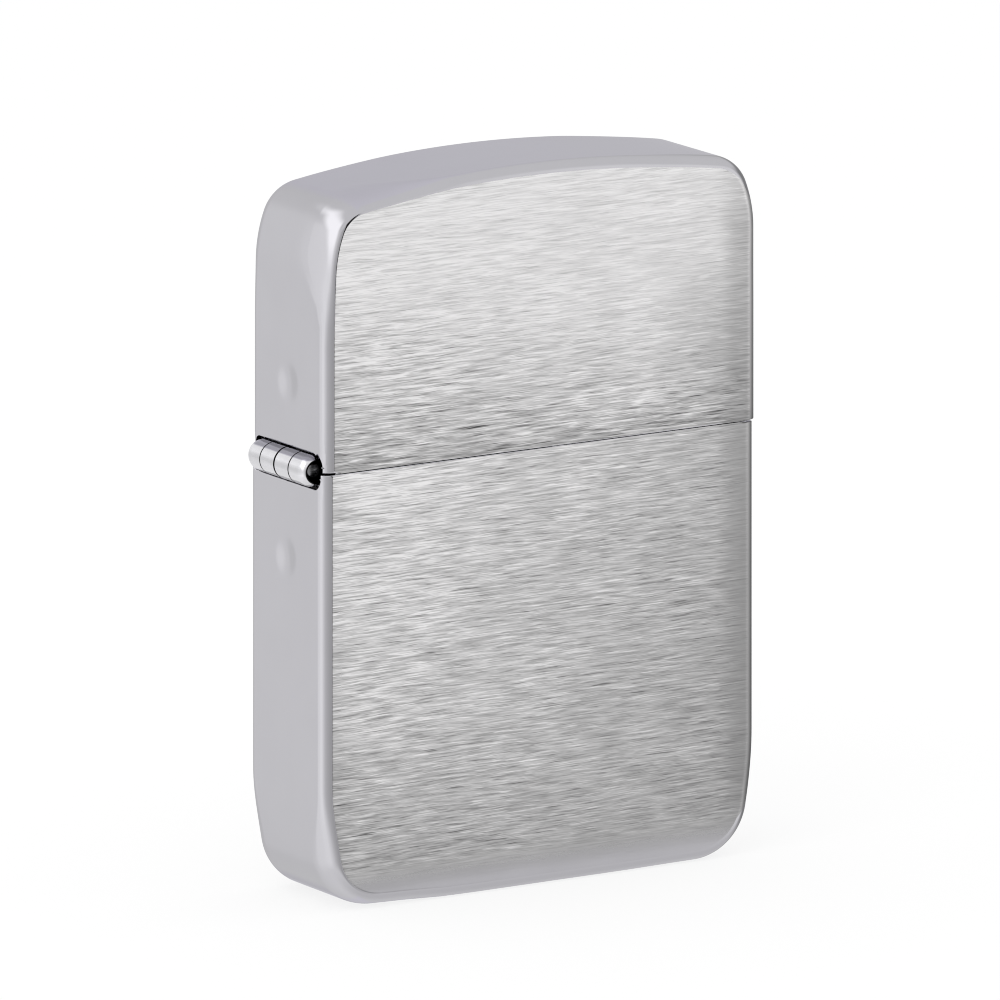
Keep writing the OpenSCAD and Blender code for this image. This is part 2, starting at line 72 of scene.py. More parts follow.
class Mat:
    """A node-based material, with short calls for the nodes that repeat."""

    def __init__(self, name):
        self.m = bpy.data.materials.new(name)
        self.m.use_nodes = True
        self.t = self.m.node_tree
        self.t.nodes.clear()
        self.out = self.t.nodes.new("ShaderNodeOutputMaterial")
        self.bsdf = self.t.nodes.new("ShaderNodeBsdfPrincipled")
        self.t.links.new(self.bsdf.outputs[0], self.out.inputs[0])
        tc = self.t.nodes.new("ShaderNodeTexCoord")
        scale = self.t.nodes.new("ShaderNodeVectorMath")
        scale.operation = "SCALE"
        scale.inputs["Scale"].default_value = 1000.0
        self.t.links.new(tc.outputs["Object"], scale.inputs[0])
        self.mm = scale.outputs[0]
        sep = self.t.nodes.new("ShaderNodeSeparateXYZ")
        self.t.links.new(self.mm, sep.inputs[0])
        self.x, self.y, self.z = sep.outputs

    def _in(self, sock, value):
        if isinstance(value, (int, float)):
            sock.default_value = value
        elif isinstance(value, (tuple, list)):
            v = list(value)
            if len(sock.default_value) == 4 and len(v) == 3:
                v.append(1.0)
            sock.default_value = v
        else:
            self.t.links.new(value, sock)

    def math(self, op, a, b=0.0, c=0.0, clamp=False):
        n = self.t.nodes.new("ShaderNodeMath")
        n.operation = op
        n.use_clamp = clamp
        self._in(n.inputs[0], a)
        self._in(n.inputs[1], b)
        self._in(n.inputs[2], c)
        return n.outputs[0]

    def add(self, a, b):
        return self.math("ADD", a, b)

    def mul(self, a, b):
        return self.math("MULTIPLY", a, b)

    def ramp(self, value, lo, hi, a=0.0, b=1.0, smooth=True):
        n = self.t.nodes.new("ShaderNodeMapRange")
        n.interpolation_type = "SMOOTHSTEP" if smooth else "LINEAR"
        self._in(n.inputs["Value"], value)
        for key, v in (("From Min", lo), ("From Max", hi), ("To Min", a), ("To Max", b)):
            self._in(n.inputs[key], v)
        return n.outputs["Result"]

    def vec(self, x, y, z):
        n = self.t.nodes.new("ShaderNodeCombineXYZ")
        for s, v in zip(n.inputs, (x, y, z)):
            self._in(s, v)
        return n.outputs[0]

    def noise(self, vector, scale=1.0, detail=2.0, rough=0.5, distortion=0.0):
        n = self.t.nodes.new("ShaderNodeTexNoise")
        self._in(n.inputs["Vector"], vector)
        n.inputs["Scale"].default_value = scale
        n.inputs["Detail"].default_value = detail
        n.inputs["Roughness"].default_value = rough
        n.inputs["Distortion"].default_value = distortion
        return n.outputs["Fac"]

    def stretched(self, sx, sy, sz, detail=2.0, rough=0.5, z=None, seed=0.0):
        """Noise with a feature size of sx, sy, sz millimetres along each axis."""
        z = self.z if z is None else z
        v = self.vec(self.add(self.mul(self.x, 1.0 / sx), seed), self.mul(self.y, 1.0 / sy), self.mul(z, 1.0 / sz))
        return self.noise(v, 1.0, detail, rough)

    def mix(self, fac, a, b):
        n = self.t.nodes.new("ShaderNodeMix")
        n.data_type = "RGBA"
        self._in(n.inputs[0], fac)
        self._in(n.inputs[6], a)
        self._in(n.inputs[7], b)
        return n.outputs[2]

    def mixf(self, fac, a, b):
        n = self.t.nodes.new("ShaderNodeMix")
        n.data_type = "FLOAT"
        self._in(n.inputs[0], fac)
        self._in(n.inputs[2], a)
        self._in(n.inputs[3], b)
        return n.outputs[0]

    def grey(self, v, tint=(1.0, 1.0, 1.0)):
        n = self.t.nodes.new("ShaderNodeCombineColor")
        for i in range(3):
            self._in(n.inputs[i], self.mul(v, tint[i]))
        return n.outputs[0]

    def bump(self, height, strength, distance_mm, normal=None):
        n = self.t.nodes.new("ShaderNodeBump")
        self._in(n.inputs["Height"], height)
        self._in(n.inputs["Strength"], strength)
        n.inputs["Distance"].default_value = distance_mm * MM
        if normal is not None:
            self.t.links.new(normal, n.inputs["Normal"])
        self.t.links.new(n.outputs[0], self.bsdf.inputs["Normal"])
        return n.outputs[0]

    def set(self, **kw):
        for k, v in kw.items():
            self._in(self.bsdf.inputs[k.replace("_", " ")], v)
        return self


POLISH = (0.537, 0.530, 0.559)


def shell_chrome_painted_shade(name, painted_shade_and_finish, span):
    """Chrome shell: flat faces brushed along the width, the rounded edges and the band polished.
    The function passed in gives the painted light and shade across the brushed face (a slow change of brightness), the
    strength of its streaks, and where its edge is buffed off softly instead of ending on a crisp line."""
    m = Mat(name)
    geo = m.t.nodes.new("ShaderNodeNewGeometry")
    tr = m.t.nodes.new("ShaderNodeVectorTransform")
    tr.vector_type, tr.convert_from, tr.convert_to = "NORMAL", "WORLD", "OBJECT"
    m.t.links.new(geo.outputs["Normal"], tr.inputs[0])
    sp = m.t.nodes.new("ShaderNodeSeparateXYZ")
    m.t.links.new(tr.outputs[0], sp.inputs[0])
    ny = m.math("ABSOLUTE", sp.outputs[1])
    # painted light and shade across the brushed face, with the streak strength, the buffed-edge mask and the fade of
    # the brushing
    painted_shade, soft, buff, fade = painted_shade_and_finish(m)
    flat = m.ramp(ny, m.mixf(buff, 0.9975, 0.10), m.mixf(buff, 0.9997, 0.40))
    brushed = m.mul(m.mul(flat, fade), m.ramp(m.math("ABSOLUTE", m.y), m.mixf(buff, 6.2, 5.4), m.mixf(buff, 6.3, 5.6)))
    streaky = m.ramp(ny, 0.93, 0.999)
    wav = m.mul(m.add(m.stretched(12.0, 4.0, 4.0, 1.0), -0.5), 0.30)
    wav = m.add(wav, m.mul(m.add(m.stretched(3.4, 4.0, 1.0, 1.0, seed=5.0), -0.5), 0.11))
    zz = m.add(m.z, wav)
    fine = m.stretched(2.3, 5.0, 0.115, 2.0, 0.60, z=zz)
    mid = m.stretched(4.2, 5.0, 0.24, 2.0, 0.55, z=zz, seed=17.0)
    wide = m.stretched(5.0, 5.0, 0.9, 2.0, 0.5, z=zz, seed=41.0)
    cloud = m.stretched(7.0, 5.0, 4.5, 2.0, 0.5, seed=7.0)
    s = m.mul(m.add(fine, -0.5), 4.2)
    s = m.add(s, m.mul(m.add(mid, -0.5), 1.8))
    s = m.add(s, m.mul(m.add(wide, -0.5), 0.45))
    # short bright and dark scratches that stand out of the grain
    spark = m.ramp(m.stretched(1.9, 5.0, 0.105, 1.0, 0.5, z=zz, seed=71.0), 0.57, 0.70)
    cut = m.ramp(m.stretched(2.1, 5.0, 0.105, 1.0, 0.5, z=zz, seed=93.0), 0.58, 0.72)
    s = m.add(s, m.add(m.mul(spark, 0.85), m.mul(cut, -0.85)))
    amp = m.mul(m.mul(m.ramp(cloud, 0.32, 0.68, 0.85, 1.15), span), m.mul(soft, streaky))
    v = m.add(1.0, m.mul(s, amp))
    v = m.add(v, m.mul(m.add(cloud, -0.5), 0.14))
    # painted shade: in the buffed zones the brushed colour is painted darker, most where the edge turns away; then the
    # colour is scaled by the painted light and shade across the face
    edge = m.mixf(buff, 1.0, m.ramp(ny, 0.35, 0.90, 0.18, 0.86))
    v = m.mul(m.mul(v, painted_shade), edge)
    v = m.math("MINIMUM", m.math("MAXIMUM", v, 0.05), 0.985)
    face = m.grey(v, (1.004, 0.994, 0.998))
    smudge = m.noise(m.mm, 0.16, 3.0, 0.6)
    pol = m.mix(m.ramp(smudge, 0.3, 0.7), tuple(c * 0.99 for c in POLISH), tuple(c * 1.01 for c in POLISH))
    # painted shade: the polished front and back darker towards the bottom edge
    pol = m.mix(m.mul(m.ramp(ny, 0.4, 0.9), m.ramp(m.z, 1.0, 4.0, 1.0, 0.0)), pol, tuple(c * 0.78 for c in POLISH))
    m.set(Base_Color=m.mix(brushed, pol, face), Metallic=1.0)
    m.set(Roughness=m.mixf(brushed, m.ramp(smudge, 0.3, 0.7, 0.07, 0.10), m.ramp(fine, 0.3, 0.7, 0.30, 0.40)))
    m.bsdf.inputs["Specular Tint"].default_value = (0.74, 0.74, 0.74, 1)
    m.bump(m.mul(m.add(fine, m.mul(mid, 1.4)), m.mul(m.mul(brushed, soft), streaky)), 0.35, 0.008)
    return m.m


def lid_painted_shade_and_finish(m):
    # painted light and shade: the brushed face lighter towards the top and the top left, darker towards the right edge
    # and just above the seam
    painted_shade = m.mul(m.ramp(m.z, 34.0, 46.0, 0.585, 0.815, smooth=False), m.ramp(m.z, 34.6, 36.0, 0.88, 1.0))
    painted_shade = m.mul(painted_shade, m.ramp(m.add(m.z, m.mul(m.x, 0.3)), 28.0, 42.0, 0.88, 1.0))
    side = m.ramp(m.x, 8.5, 19.0, 1.0, 0.70)
    painted_shade = m.mul(painted_shade, m.mixf(m.ramp(m.z, 43.0, 53.0), side, m.ramp(m.x, 14.8, 18.6, 1.0, 0.76)))
    painted_shade = m.mul(painted_shade, 1.018)
    painted_shade = m.mul(painted_shade, m.ramp(m.add(m.z, m.mul(m.x, -0.25)), 46.0, 58.0, 1.0, 1.07))
    soft = m.mul(m.ramp(m.add(m.z, m.mul(m.x, 0.25)), 36.0, 50.0, 1.75, 0.72), m.ramp(m.z, 35.5, 40.0, 1.3, 1.0))
    return painted_shade, soft, m.mul(m.ramp(m.x, 15.6, 17.4), m.ramp(m.z, 49.0, 54.6, 1.0, 0.0)), 1.0


def case_painted_shade_and_finish(m):
    # painted light and shade: the brushed face darker towards the right, towards the bottom and the lower left and at
    # both side edges, lighter just below the seam
    painted_shade = m.mul(m.ramp(m.x, -17.0, 17.0, 0.755, 0.500, smooth=False), m.ramp(m.z, 2.0, 33.0, 0.82, 1.06, smooth=False))
    painted_shade = m.mul(painted_shade, m.mul(m.ramp(m.x, -18.2, -15.5, 0.90, 1.0), m.ramp(m.x, 15.5, 18.4, 1.0, 0.86)))
    painted_shade = m.mul(painted_shade, m.ramp(m.z, 31.0, 34.4, 1.0, 1.05))
    painted_shade = m.mul(painted_shade, m.ramp(m.add(m.z, m.mul(m.x, 0.5)), -6.0, 12.0, 0.76, 1.0))
    soft = m.mul(m.mul(m.ramp(m.z, 1.6, 4.2), m.ramp(m.x, 15.5, 18.3, 1.0, 0.35)), m.ramp(m.x, -14.0, 14.0, 1.1, 0.95))
    return painted_shade, soft, m.mul(m.ramp(m.x, 15.0, 17.2), m.ramp(m.z, 3.0, 6.0)), m.ramp(m.z, 0.9, 3.0)


def polished(name, base, rough, var=0.08, wear=0.0, scale=0.9):
    """Smooth metal with faint smears, and tool marks under wear."""
    m = Mat(name)
    n1 = m.noise(m.mm, scale, 4.0, 0.6)
    n2 = m.noise(m.mm, scale * 9.0, 3.0, 0.65)
    lo = tuple(c * (1 - var) for c in base)
    hi = tuple(min(1.0, c * (1 + var)) for c in base)
    m.set(Base_Color=m.mix(m.ramp(n1, 0.3, 0.7), lo, hi), Metallic=1.0)
    m.set(Roughness=m.add(m.ramp(n1, 0.3, 0.7, rough * 0.8, rough * 1.25), m.mul(n2, 0.06)))
    m.bump(n2, 0.10 + wear, 0.012)
    return m.m


def drawn(name, base, rough, along="z", span=0.10):
    """Sheet metal with faint drawing lines along one axis."""
    m = Mat(name)
    size = {"x": (3.0, 0.12, 0.12), "y": (0.12, 3.0, 0.12), "z": (0.12, 0.12, 4.0)}[along]
    n1 = m.stretched(*size, detail=3.0, rough=0.6)
    n2 = m.noise(m.mm, 0.6, 3.0, 0.6)
    v = m.add(m.mul(m.add(n1, -0.5), 2 * span), m.ramp(n2, 0.3, 0.7, 0.95, 1.05))
    m.set(Base_Color=m.grey(v, base), Metallic=1.0)
    m.set(Roughness=m.ramp(n1, 0.3, 0.7, rough * 0.8, rough * 1.25))
    m.bump(n1, 0.18, 0.01)
    return m.m


def fibre(name, base, dark, size, bump_mm, weave=None):
    """Cotton or felt: soft fibres in every direction, matt, with a little sheen."""
    m = Mat(name)
    n1 = m.noise(m.mm, 1.0 / size, 6.0, 0.72, 0.6)
    n2 = m.noise(m.mm, 0.35 / size, 3.0, 0.6)
    h = m.add(m.mul(n1, 0.75), m.mul(n2, 0.6))
    m.set(Base_Color=m.mix(m.ramp(h, 0.45, 0.85), dark, base), Roughness=0.92, Metallic=0.0)
    m.bsdf.inputs["Sheen Weight"].default_value = 0.35
    m.bsdf.inputs["Sheen Roughness"].default_value = 0.6
    m.bsdf.inputs["Subsurface Weight"].default_value = 0.08
    m.bsdf.inputs["Subsurface Scale"].default_value = 0.0006
    m.bump(h, 0.8, bump_mm)
    return m.m


M = {
    "lid": shell_chrome_painted_shade("lid_chrome", lid_painted_shade_and_finish, 0.235),
    "case": shell_chrome_painted_shade("case_chrome", case_painted_shade_and_finish, 0.37),
    "hinge": polished("hinge_chrome", (0.60, 0.60, 0.63), 0.10, 0.06),
    "pin": polished("pin_steel", (0.32, 0.32, 0.33), 0.22, 0.12, 0.05),
    "insert": drawn("stainless_sheet", (0.62, 0.62, 0.63), 0.22, "x"),
    "chimney": drawn("stainless_chimney", (0.64, 0.64, 0.65), 0.24, "x"),
    "rivet": polished("rivet_steel", (0.58, 0.57, 0.56), 0.24, 0.10, 0.06, 2.2),
    "cam": polished("cam_steel", (0.60, 0.60, 0.61), 0.20, 0.10, 0.08, 1.6),
    "spring": polished("spring_steel", (0.50, 0.52, 0.56), 0.20, 0.10, 0.05, 2.0),
    "brass": polished("brass", (0.82, 0.62, 0.30), 0.22, 0.10, 0.05, 1.2),
    "screw": polished("screw_brass", (0.85, 0.66, 0.34), 0.20, 0.12, 0.10, 1.4),
    "wick": fibre("wick_cotton", (0.86, 0.81, 0.70), (0.55, 0.48, 0.37), 0.16, 0.03),
    "felt": fibre("felt_grey", (0.80, 0.79, 0.76), (0.52, 0.51, 0.49), 0.28, 0.08),
    "cotton": fibre("cotton_white", (0.95, 0.94, 0.91), (0.74, 0.73, 0.70), 0.5, 0.14),
}


def hinge_material():
    """Chromed hinge with painted light: painted lighter and darker reflection bands round the barrel, a painted darker
    violet reflection band along its top, and painted shade inside the bore, in the gap behind the barrel and at the
    joints between knuckles.
    """
    m = Mat("hinge_barrel_chrome")
    dx, dz = m.add(m.x, 18.76), m.add(m.z, -34.56)
    r = m.math("SQRT", m.add(m.mul(dx, dx), m.mul(dz, dz)))
    t = m.mul(dz, 1.0 / 1.28)
    n1 = m.stretched(0.9, 3.0, 0.10, 3.0, 0.6)
    n2 = m.noise(m.mm, 0.8, 3.0, 0.6)
    # painted reflection: lighter and darker bands by height round the barrel
    v = m.mixf(m.ramp(t, -0.95, -0.35), 0.60, 0.70)
    v = m.mixf(m.ramp(t, -0.25, 0.10), v, 0.58)
    v = m.mixf(m.ramp(t, 0.15, 0.42), v, 0.78)
    # painted reflection: a darker violet band along the barrel's top, below the notch edge
    top = m.mul(m.ramp(t, 0.66, 0.76), m.ramp(m.z, 36.0, 36.3, 1.0, 0.0))
    v = m.mixf(top, v, 0.33)
    v = m.add(v, m.mul(m.add(n1, -0.5), 0.10))
    v = m.mul(v, m.ramp(n2, 0.3, 0.7, 0.97, 1.03))
    # painted shade: black inside the bore and in the gap behind the barrel
    inside = m.ramp(r, 0.94, 1.0)
    gap = m.math("MAXIMUM", m.mul(m.ramp(r, 1.30, 1.36, 1.0, 0.0), m.ramp(dx, 0.44, 0.50, 1.0, 0.0)), m.ramp(r, 2.3, 3.0))
    # painted shade at the knuckle ends that face each other at the joints
    geo = m.t.nodes.new("ShaderNodeNewGeometry")
    tr = m.t.nodes.new("ShaderNodeVectorTransform")
    tr.vector_type, tr.convert_from, tr.convert_to = "NORMAL", "WORLD", "OBJECT"
    m.t.links.new(geo.outputs["Normal"], tr.inputs[0])
    sp = m.t.nodes.new("ShaderNodeSeparateXYZ")
    m.t.links.new(tr.outputs[0], sp.inputs[0])
    joint = m.mul(m.mul(m.ramp(m.math("ABSOLUTE", sp.outputs[1]), 0.25, 0.5), m.ramp(m.math("ABSOLUTE", m.y), 3.0, 3.2, 1.0, 0.0)), m.ramp(r, 1.32, 1.4, 1.0, 0.0))
    v = m.math("MAXIMUM", m.mul(m.mul(m.mul(v, inside), gap), m.ramp(joint, 0.0, 1.0, 1.0, 0.03)), 0.012)
    m.set(Base_Color=m.mix(top, m.grey(v, (0.99, 0.985, 1.02)), m.grey(v, (0.97, 0.95, 1.10))), Metallic=1.0, Roughness=m.ramp(n1, 0.3, 0.7, 0.12, 0.20))
    m.bump(n1, 0.12, 0.01)
    return m.m


def wheel_material():
    m = Mat("wheel_steel")
    n1 = m.noise(m.mm, 1.4, 4.0, 0.65)
    n2 = m.noise(m.mm, 14.0, 3.0, 0.65)
    r = m.math("SQRT", m.add(m.math("POWER", m.add(m.x, -11.6), 2.0), m.math("POWER", m.add(m.z, -42.4), 2.0)))
    worn = m.mul(m.ramp(r, 2.72, 3.1), m.ramp(n1, 0.35, 0.6))
    m.set(Base_Color=m.mix(worn, (0.17, 0.165, 0.165), (0.50, 0.49, 0.48)), Metallic=1.0)
    m.set(Roughness=m.mixf(worn, 0.42, 0.26))
    m.bump(n2, 0.30, 0.02)
    return m.m


def flint_material():
    m = Mat("flint_alloy")
    n1 = m.noise(m.mm, 3.0, 5.0, 0.7)
    m.set(Base_Color=m.mix(m.ramp(n1, 0.35, 0.65), (0.13, 0.125, 0.12), (0.26, 0.25, 0.245)), Metallic=0.7, Roughness=m.ramp(n1, 0.3, 0.7, 0.5, 0.75))
    m.bump(n1, 0.6, 0.05)
    return m.m


M["hinge"] = hinge_material()
M["wheel"] = wheel_material()
M["flint"] = flint_material()

# ---------------------------------------------------------------------------
# Mesh helpers: everything is drawn in millimetres and scaled once
# ---------------------------------------------------------------------------


def finish_mesh(bm, name, body, mat, nodes, sharp=40.0, weighted=True):
    bmesh.ops.remove_doubles(bm, verts=bm.verts, dist=1e-5)
    bmesh.ops.recalc_face_normals(bm, faces=bm.faces)
    bm.normal_update()
    for v in bm.verts:
        v.co *= MM
    me = bpy.data.meshes.new(name)
    bm.to_mesh(me)
    bm.free()
    me.polygons.foreach_set("use_smooth", [True] * len(me.polygons))
    me.set_sharp_from_angle(angle=math.radians(sharp))
    me.materials.append(mat)
    o = bpy.data.objects.new(name, me)
    bpy.context.scene.collection.objects.link(o)
    if weighted:
        w = o.modifiers.new("weighted", "WEIGHTED_NORMAL")
        w.keep_sharp = True
        w.weight = 80
    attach(o, body)
    if nodes:
        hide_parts(*nodes)
    return o


def body_of(node):
    return NODES[node]["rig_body"]


def refine(node, name, mat, width, segments=2, angle=35.0, rule=None, sharp=45.0):
    """The CAD part with its flat faces merged and its edges rounded. rule(point) gives a share of width for an edge."""
    bm = bmesh.new()
    bm.from_mesh(NODES[node].data)
    for v in bm.verts:
        v.co /= MM
    bmesh.ops.remove_doubles(bm, verts=bm.verts, dist=1e-4)
    bmesh.ops.dissolve_limit(bm, angle_limit=math.radians(0.6), verts=bm.verts, edges=bm.edges)
    bmesh.ops.recalc_face_normals(bm, faces=bm.faces)
    if width:
        groups = {}
        for e in bm.edges:
            if len(e.link_faces) == 2 and e.calc_face_angle(0.0) > math.radians(angle):
                k = 1.0 if rule is None else rule((e.verts[0].co + e.verts[1].co) / 2)
                if k > 0:
                    groups.setdefault(round(k, 2), []).append(e)
        # the widest first, so that a narrow edge doesn't stop it
        for k in sorted(groups, reverse=True):
            live = [e for e in groups[k] if e.is_valid]
            bmesh.ops.bevel(bm, geom=live, offset=width * k, offset_type="OFFSET", segments=segments,
                            profile=0.5, affect="EDGES", clamp_overlap=True)
    return finish_mesh(bm, name, body_of(node), mat, [node], sharp)


def lathe(bm, profile, n, origin, axis="y", phase=0.0, closed=True):
    """Turned part: profile is (radius, height) pairs; a radius of 0 closes on the axis."""
    rings = []
    for r, h in profile:
        if r < 1e-6:
            rings.append([_place(bm, 0, 0, h, origin, axis)])
        else:
            rings.append([_place(bm, r * math.cos(phase + 2 * math.pi * k / n), r * math.sin(phase + 2 * math.pi * k / n), h, origin, axis) for k in range(n)])
    pairs = list(zip(rings, rings[1:]))
    if closed:
        pairs.append((rings[-1], rings[0]))
    for a, b in pairs:
        for k in range(n):
            j = (k + 1) % n
            q = [a[k % len(a)], a[j % len(a)], b[j % len(b)], b[k % len(b)]]
            q = [v for i, v in enumerate(q) if v not in q[:i]]
            if len(q) >= 3:
                bm.faces.new(q)


def _place(bm, u, v, h, origin, axis):
    ox, oy, oz = origin
    if axis == "y":
        return bm.verts.new((ox + u, oy + h, oz + v))
    if axis == "z":
        return bm.verts.new((ox + u, oy + v, oz + h))
    return bm.verts.new((ox + h, oy + u, oz + v))


def corner(cx, cy, r, a0, a1, n):
    return [(cx + r * math.cos(math.radians(a0 + (a1 - a0) * k / n)), cy + r * math.sin(math.radians(a0 + (a1 - a0) * k / n))) for k in range(n + 1)]


# ---------------------------------------------------------------------------
# Shells: one rim section carried round the outline, two flat plates, and the
# wall turned in at the seam and round the notch
# ---------------------------------------------------------------------------

T2, EDGE, WALL = 6.35, 0.9, 0.65
FLAT = T2 - EDGE

fil = [0.0] + [math.degrees(math.asin((y - FLAT) / EDGE)) for y in (5.55, 5.65, 5.8, 5.9, 6.0)] + [44.5, 51.5, 58.5, 65.5, 72.5, 79.0, 85.0, 90.0]
SECTION = [(EDGE + 0.6, -T2, 0.0, -1.0), (EDGE + 0.12, -T2, 0.0, -1.0)]
for a in reversed(fil):
    r = math.radians(a)
    SECTION.append((EDGE * (1 - math.cos(r)), -FLAT - EDGE * math.sin(r), math.cos(r), -math.sin(r)))
for y in [5.3, 5.1, 4.9, 4.5, 4.0, 3.5, 3.0, 2.6]:
    SECTION.append((0.0, -y, 1.0, 0.0))
for k in range(25):
    SECTION.append((0.0, -2.3 + 4.6 * k / 24, 1.0, 0.0))
SECTION += [(d, -y, c, -s) for d, y, c, s in reversed(SECTION[: len(SECTION) - 25])]
YS = [round(s[1], 4) for s in SECTION]


def v_index(y):
    return min(range(len(YS)), key=lambda i: abs(YS[i] - y) + (0.001 if SECTION[i][0] > EDGE else 0))


def section_at(y):
    a = abs(y)
    if a <= FLAT:
        return (0.0, y, 1.0, 0.0)
    s = (a - FLAT) / EDGE
    r = math.asin(s)
    return (EDGE * (1 - math.cos(r)), y, math.cos(r), math.copysign(s, y))


def shell(name, path, box_near, box_far, edge_z, arc_z, arc_y, arc_r, dimple_z, mat, nodes, body, soft_corner, corner_size, shift=0.0):
    """path: (x, z, nx, nz) round the outline, both ends at the seam. The notch lies on the hinge side between z box_near
    (the seam) and edge_z, with corners of radius arc_r about (arc_y, arc_z), inside a grid box that ends at box_far."""
    bm = bmesh.new()
    P, N = [], []

    Q = []

    def put(px, pz, nx, nz, sec):
        d, y, c, s = sec
        Q.append(Vector((px - nx * (d + c * WALL) + shift, y - s * WALL, pz - nz * (d + c * WALL))))
        k = soft_corner(px, pz)
        if k > 0:
            front, back, depth, out = corner_size[0] if px < 0 else corner_size[1]
            out *= step(pz, 47.0, 52.0) if abs(px) > 15.8 else step(abs(px), 9.0, 15.8)
            ad, ay = EDGE + (depth - EDGE) * k, EDGE + ((front if y < 0 else back) - EDGE) * k
            px, pz = px + nx * out, pz + nz * out
            if d > EDGE + 1e-6:
                d += ad - EDGE
            elif abs(y) > FLAT + 1e-6:
                f = math.asin(min(1.0, (abs(y) - FLAT) / EDGE))
                d, y = ad * (1 - math.cos(f)), math.copysign(T2 - ay + ay * math.sin(f), y)
                c, s = math.cos(f) / ad, math.copysign(math.sin(f) / ay, y)
                c, s = c / math.hypot(c, s), s / math.hypot(c, s)
            else:
                y *= (T2 - ay) / FLAT
        P.append(Vector((px - nx * d + shift, y, pz - nz * d)))
        N.append(Vector((nx * c, s, nz * c)))
        return len(P) - 1

    grid = [[put(px, pz, nx, nz, sec) for sec in SECTION] for px, pz, nx, nz in path]
    faces = []
    left = [i for i, p in enumerate(path) if p[2] < -0.999]
    uz = {round(path[i][1], 3): i for i in left}

    def u_of(z):
        return uz[round(z, 3)]

    lo_b, hi_b = sorted((box_near, box_far))
    v6a, v6b = v_index(-6.0), v_index(6.0)
    v58a, v58b = v_index(-5.8), v_index(5.8)
    vca, vcb = v_index(-arc_y), v_index(arc_y)
    lo_s, hi_s = sorted((box_near, arc_z))
    lo_t, hi_t = sorted((edge_z, box_far))
    for i in range(len(path) - 1):
        zm = (path[i][1] + path[i + 1][1]) / 2
        in_box = i in left and i + 1 in left and lo_b < zm < hi_b
        for j in range(len(SECTION) - 1):
            keep = True
            if in_box and v6a <= j < v6b:
                side = (v6a <= j < v58a) or (v58b <= j < v6b)
                keep = (side and lo_s < zm < hi_s) or (vca <= j < vcb and lo_t < zm < hi_t)
            if keep:
                faces.append([grid[i][j], grid[i + 1][j], grid[i + 1][j + 1], grid[i][j + 1]])
    zs = [z for z in sorted(uz, key=lambda z: abs(z - arc_z)) if min(arc_z, box_far) - 1e-6 <= z <= max(arc_z, box_far) + 1e-6]
    zs.sort(key=lambda z: abs(z - arc_z))
    up = 1.0 if box_far > arc_z else -1.0
    for sgn, v6, v58, vc in ((-1, v6a, v58a, vca), (1, v6b, v58b, vcb)):
        rim = [grid[u_of(z)][v6] for z in zs]
        stride = 1 if vc > v6 else -1
        rim += [grid[u_of(box_far)][j] for j in range(v6 + stride, vc + stride, stride)]
        n = len(rim) - 1
        arc = []
        for k in range(n + 1):
            a = math.pi / 2 * k / n
            if k == 0:
                arc.append(grid[u_of(arc_z)][v58])
            elif k == n:
                arc.append(grid[u_of(edge_z)][vc])
            else:
                y = sgn * (arc_y + arc_r * math.cos(a))
                arc.append(put(-19.0, arc_z + up * arc_r * math.sin(a), -1.0, 0.0, section_at(y)))
        for k in range(n):
            faces.append([arc[k], arc[k + 1], rim[k + 1], rim[k]])
    plate_a = [grid[i][0] for i in range(len(path))]
    plate_b = [grid[i][-1] for i in range(len(path))]
    faces += [plate_a, plate_b[::-1]]

    # soft weld dimples in the side band
    for i, p in enumerate(P):
        if N[i].x < -0.99:
            r = math.hypot(p.y, p.z - dimple_z)
            if r < 1.95:
                q = (r / 1.95) ** 2
                P[i] = p + Vector((0.17 * (1 - q) ** 2, 0, 0))
    outer = [bm.verts.new(p) for p in P]
    inner = [bm.verts.new(q) for q in Q]
    use = {}
    for f in faces:
        bm.faces.new([outer[k] for k in f])
        bm.faces.new([inner[k] for k in reversed(f)])
        for a, b in zip(f, f[1:] + f[:1]):
            use[(min(a, b), max(a, b))] = use.get((min(a, b), max(a, b)), []) + [(a, b)]
    rim_out, rim_in = [], []
    for key, sides in use.items():
        if len(sides) == 1:
            a, b = sides[0]
            bm.faces.new([outer[b], outer[a], inner[a], inner[b]])
            rim_out.append((outer[a], outer[b]))
            rim_in.append((inner[a], inner[b]))
    loose = [v for v in bm.verts if not v.link_faces]
    bmesh.ops.delete(bm, geom=loose, context="VERTS")
    out_e = [bm.edges.get(p) for p in rim_out]
    in_e = [bm.edges.get(p) for p in rim_in]
    bmesh.ops.bevel(bm, geom=[e for e in out_e if e], offset=0.075, offset_type="OFFSET", segments=3, profile=0.5, affect="EDGES", clamp_overlap=True)
    bmesh.ops.bevel(bm, geom=[e for e in in_e if e and e.is_valid], offset=0.06, offset_type="OFFSET", segments=1, profile=0.5, affect="EDGES", clamp_overlap=True)
    lo_n, hi_n = sorted((box_near - (box_far - box_near), arc_z + (0.08 if box_far > arc_z else -0.08)))
    for v in bm.verts:
        v.co.y = max(-T2, min(T2, v.co.y))
        if v.co.z < 44:
            v.co.x = max(shift - 19.0, v.co.x)
        if v.co.x < -15 and lo_n < v.co.z < hi_n:
            v.co.y = math.copysign(max(abs(v.co.y), 5.78), v.co.y)
    return finish_mesh(bm, name, body, mat, nodes, 50.0)


def step(x, a, b):
    t = max(0.0, min(1.0, (x - a) / (b - a)))
    return t * t * (3 - 2 * t)


def case_corner(x, z):
    return step(z, 9.5, 3.5) if abs(x) > 14 else step(abs(x), 7.0, 14.0) * step(z, 9.5, 3.5)


def lid_corner(x, z):
    return step(z, 46.0, 52.0) if abs(x) > 15.8 else step(abs(x), 7.0, 15.8)


def dense(z, step=0.22, half=2.0):
    n = int(round(2 * half / step))
    return [z - half + 2 * half * k / n for k in range(n + 1)]


